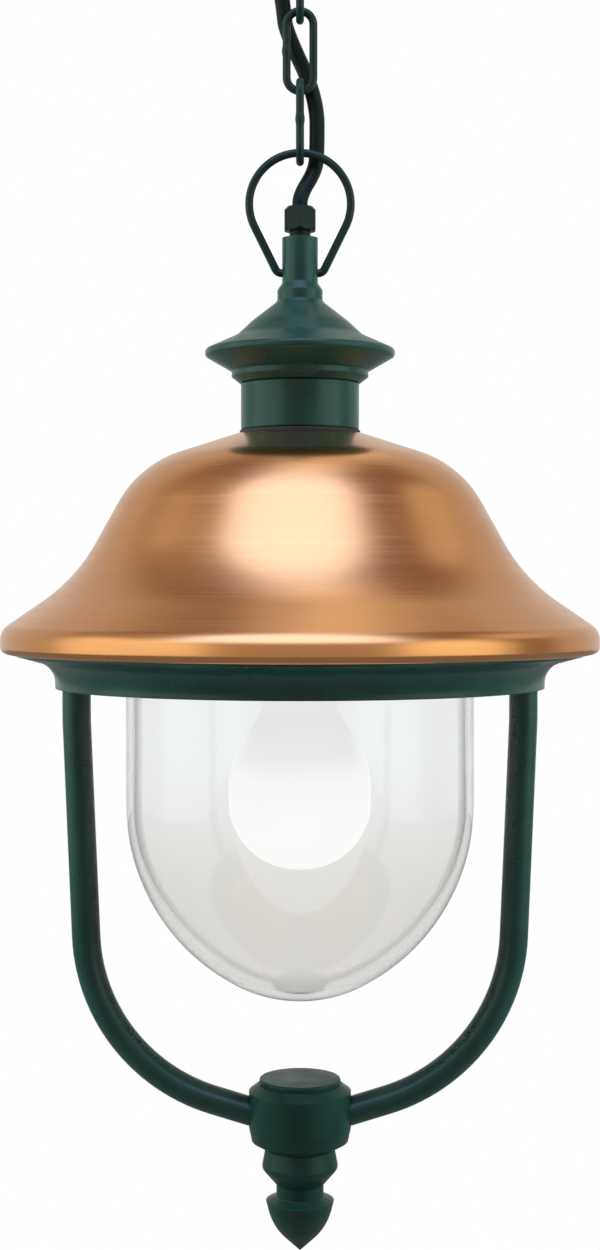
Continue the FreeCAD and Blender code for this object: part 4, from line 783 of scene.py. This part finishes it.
copper, copper_tree, copper_surface = new_finish(
    "spun_copper", Metallic=1.0, Anisotropic=0.35, Coat_Weight=0.3, Coat_Roughness=0.12, Coat_IOR=1.5
)
copper_rings = use_effect(copper_tree, spun_rings)
copper_cloud = noise(copper_tree, 14.0, 4.0)
copper_colour = blend_colour(copper_tree, copper_cloud, (0.78, 0.340, 0.120), (0.86, 0.395, 0.148))
copper_tree.links.new(copper_colour, copper_surface.inputs["Base Color"])
copper_matt = spread(copper_tree, copper_rings["Line"], 0.25, 0.75, 0.22, 0.28)
copper_tree.links.new(copper_matt, copper_surface.inputs["Roughness"])
copper_relief = sum_of(copper_tree, "MULTIPLY_ADD", copper_rings["Line"], 0.08, copper_rings["Wave"])
raise_surface(copper_tree, copper_surface, copper_relief, 0.05, 0.0004)
copper_grain = add_node(copper_tree, "ShaderNodeTangent", direction_type="RADIAL", axis="Z").outputs[0]
copper_tree.links.new(copper_grain, copper_surface.inputs["Tangent"])
hood_radius = 125.0
hood_top = -250.2
hood_foot = -342.1
hood_corners = [
    (5.1, hood_top, 0.0),
    (26.0, hood_top, 4.0),
    (67.4, -263.7, 45.0),
    (93.8, -311.1, 72.0),
    (hood_radius, -332.6, 7.5),
    (hood_radius, hood_foot, 3.0),
    (120.5, hood_foot, 0.0),
]
hood_mesh = turned_shell("copper_bell", hood_corners, wall=1.0, sides=256, steps=24, finish=copper)
add_piece("copper_bell", hood_mesh, copper, "lantern", "copper", "hood")


# Inside the hood: a threaded steel tube with washer and nut that draws cap, neck and hood together,
# and a steel strap across the gallery with its screws, all zinc plated.
thread, thread_tree, thread_surface = new_finish("threaded_zinc", Metallic=1.0, Roughness=0.34)
thread_cloud = noise(thread_tree, 160.0, 4.0)
thread_colour = blend_colour(thread_tree, thread_cloud, (0.46, 0.46, 0.43), (0.64, 0.64, 0.61))
thread_tree.links.new(thread_colour, thread_surface.inputs["Base Color"])
thread_wave = add_node(thread_tree, "ShaderNodeTexWave", {"Scale": 320.0}, bands_direction="Z").outputs[1]
raise_surface(thread_tree, thread_surface, thread_wave, 0.8, 0.0004)
dress(thread, "tie_tube", "finial_stud")
dress(zinc, "tie_washer", "tie_nut", "bridge", "bridge_screws")


# The lampholder on the tube's foot: cap and sleeve of dark plastic, a porcelain insert and the brass
# shell and contact that the bulb screws into.
porcelain = plain_finish(
    "porcelain",
    dark=(0.80, 0.79, 0.75),
    light=(0.88, 0.87, 0.84),
    roughness=0.12,
    scale=45.0,
    grain=0.03,
    Coat_Weight=0.6,
)
brass, brass_tree, brass_surface = new_finish("brass", Metallic=1.0)
brass_cloud = noise(brass_tree, 120.0, 4.0)
brass_colour = blend_colour(brass_tree, brass_cloud, (0.62, 0.44, 0.18), (0.78, 0.60, 0.28))
brass_tree.links.new(brass_colour, brass_surface.inputs["Base Color"])
brass_matt = spread(brass_tree, brass_cloud, 0.2, 0.8, 0.26, 0.42)
brass_tree.links.new(brass_matt, brass_surface.inputs["Roughness"])
raise_surface(brass_tree, brass_surface, noise(brass_tree, 900.0), 0.06, 0.0002)
dress(dark_plastic, "lampholder_cap", "lampholder_sleeve")
dress(porcelain, "lampholder_insert")
dress(brass, "screw_shell", "centre_contact")
numbered_cores("lamp_cores", "lamp_wires", "lantern")


# The bulb: a sealed opal glass bulb with a screw base, white all over with a faint glow, and slightly
# uneven where the coating inside is thinner.
opal, opal_tree, opal_surface = new_finish(
    "opal_glass",
    Roughness=0.45,
    Specular_IOR_Level=0.15,
    Subsurface_Weight=0.4,
    Subsurface_Radius=(0.01, 0.01, 0.01),
    Emission_Color=(0.98, 0.98, 1.0, 1.0),
    Emission_Strength=0.68,
)
opal_cloud = noise(opal_tree, 55.0, 3.0)
opal_colour = blend_colour(opal_tree, opal_cloud, (0.74, 0.74, 0.74), (0.80, 0.80, 0.80))
opal_tree.links.new(opal_colour, opal_surface.inputs["Base Color"])
raise_surface(opal_tree, opal_surface, noise(opal_tree, 400.0), 0.02, 0.0002)
dress(opal, "bulb")


# The gallery: a cast ring under the hood with a hollow curve outside and a floor that carries the
# glass. Painted dark green inside and out.
dress(green_paint, "gallery")


# The glass: a clear blown dome with a ground flange, laid in the gallery on a rubber gasket and held
# by three steel clips, each with its screw.
clear, clear_tree, clear_surface = new_finish(
    "clear_glass", Roughness=0.05, IOR=1.47, Transmission_Weight=1.0
)
glass_place = add_node(clear_tree, "ShaderNodeTexCoord").outputs["Object"]
glass_height = add_node(clear_tree, "ShaderNodeSeparateXYZ", {0: glass_place}).outputs["Z"]
# The glass is tinted darker and warmer towards its bottom.
darker_towards_bottom = spread(clear_tree, glass_height, -0.385, -0.450)
glass_tint = blend_colour(clear_tree, darker_towards_bottom, (0.925, 0.935, 0.94), (0.87, 0.86, 0.835))
# Painted reflection: the glass's colour turns paler towards its outline, where it is seen edge-on.
glass_turn = add_node(clear_tree, "ShaderNodeLayerWeight", {"Blend": 0.5}).outputs["Facing"]
painted_edge_light = spread(clear_tree, glass_turn, 0.55, 0.95)
glass_tint = blend_colour(clear_tree, painted_edge_light, glass_tint, (0.97, 0.975, 0.97))
clear_tree.links.new(glass_tint, clear_surface.inputs["Base Color"])
seed = spread(clear_tree, noise(clear_tree, 38.0, 1.0), 0.2, 0.8)
raise_surface(clear_tree, clear_surface, seed, 0.05, 0.0006)
glass_radius = 73.1
flange_top = -349.5
dome_foot = -488.5
glass_corners = [
    (80.0, flange_top, 0.0),
    (glass_radius, flange_top, 2.0),
    (glass_radius, -453.0, 86.0),
    (17.2, dome_foot, 57.0),
    (0.0, dome_foot, 0.0),
]
glass_mesh = turned_shell("glass_bowl", glass_corners, wall=3.2, sides=192, steps=40, finish=clear)
add_piece("glass_bowl", glass_mesh, clear, "lantern", "clear_glass", "glass_dome")
dress(rubber, "glass_gasket")
dress(zinc, "glass_clips", "clip_screws")


# The arms: two round aluminium rods bent to a U with the collar, painted dark green. A screw through
# the gallery's floor holds each top.
arm_rod = 12.0
arm_reach = 94.2
arm_line = [
    (arm_reach, -356.5, 0.0),
    (arm_reach, -370.5, 120.0),
    (88.2, -516.1, 76.0),
    (13.0, -539.13, 0.0),
]
for name, node, sign in (("left_arm_rod", "left_arm", -1.0), ("right_arm_rod", "right_arm", 1.0)):
    arm_mesh = made_by(
        bent_rod,
        name,
        [(sign * x * MM, 0.0, z * MM) for x, z, _ in arm_line],
        closed=False,
        attributes={"bend": [c[2] * MM for c in arm_line]},
        sizes={"Diameter": arm_rod * MM, "Sides": 40, "Bend Steps": 28, "Finish": green_paint},
    )
    add_piece(name, arm_mesh, green_paint, "lantern", "green_paint", node)
dress(zinc, "arm_screws")


# The collar: a turned drum that both arms enter, with a flat cover on top and grub screws under it.
# Below hangs the cast finial, a bead, a neck and a pointed bud, on a threaded stud.
# The collar, its cover and the finial take a darker copy of the green paint: painted shade, where the hood
# keeps the light off them.
painted_shade_green = green_finish(
    "painted_shade_green",
    deep=(0.0030, 0.0230, 0.0175),
    pale=(0.0050, 0.0300, 0.0230),
    gloss=0.24,
    roughness=0.28,
    grain=0.12,
)
dress(painted_shade_green, "collar", "collar_cover", "finial")
dress(zinc, "collar_grub_screws")
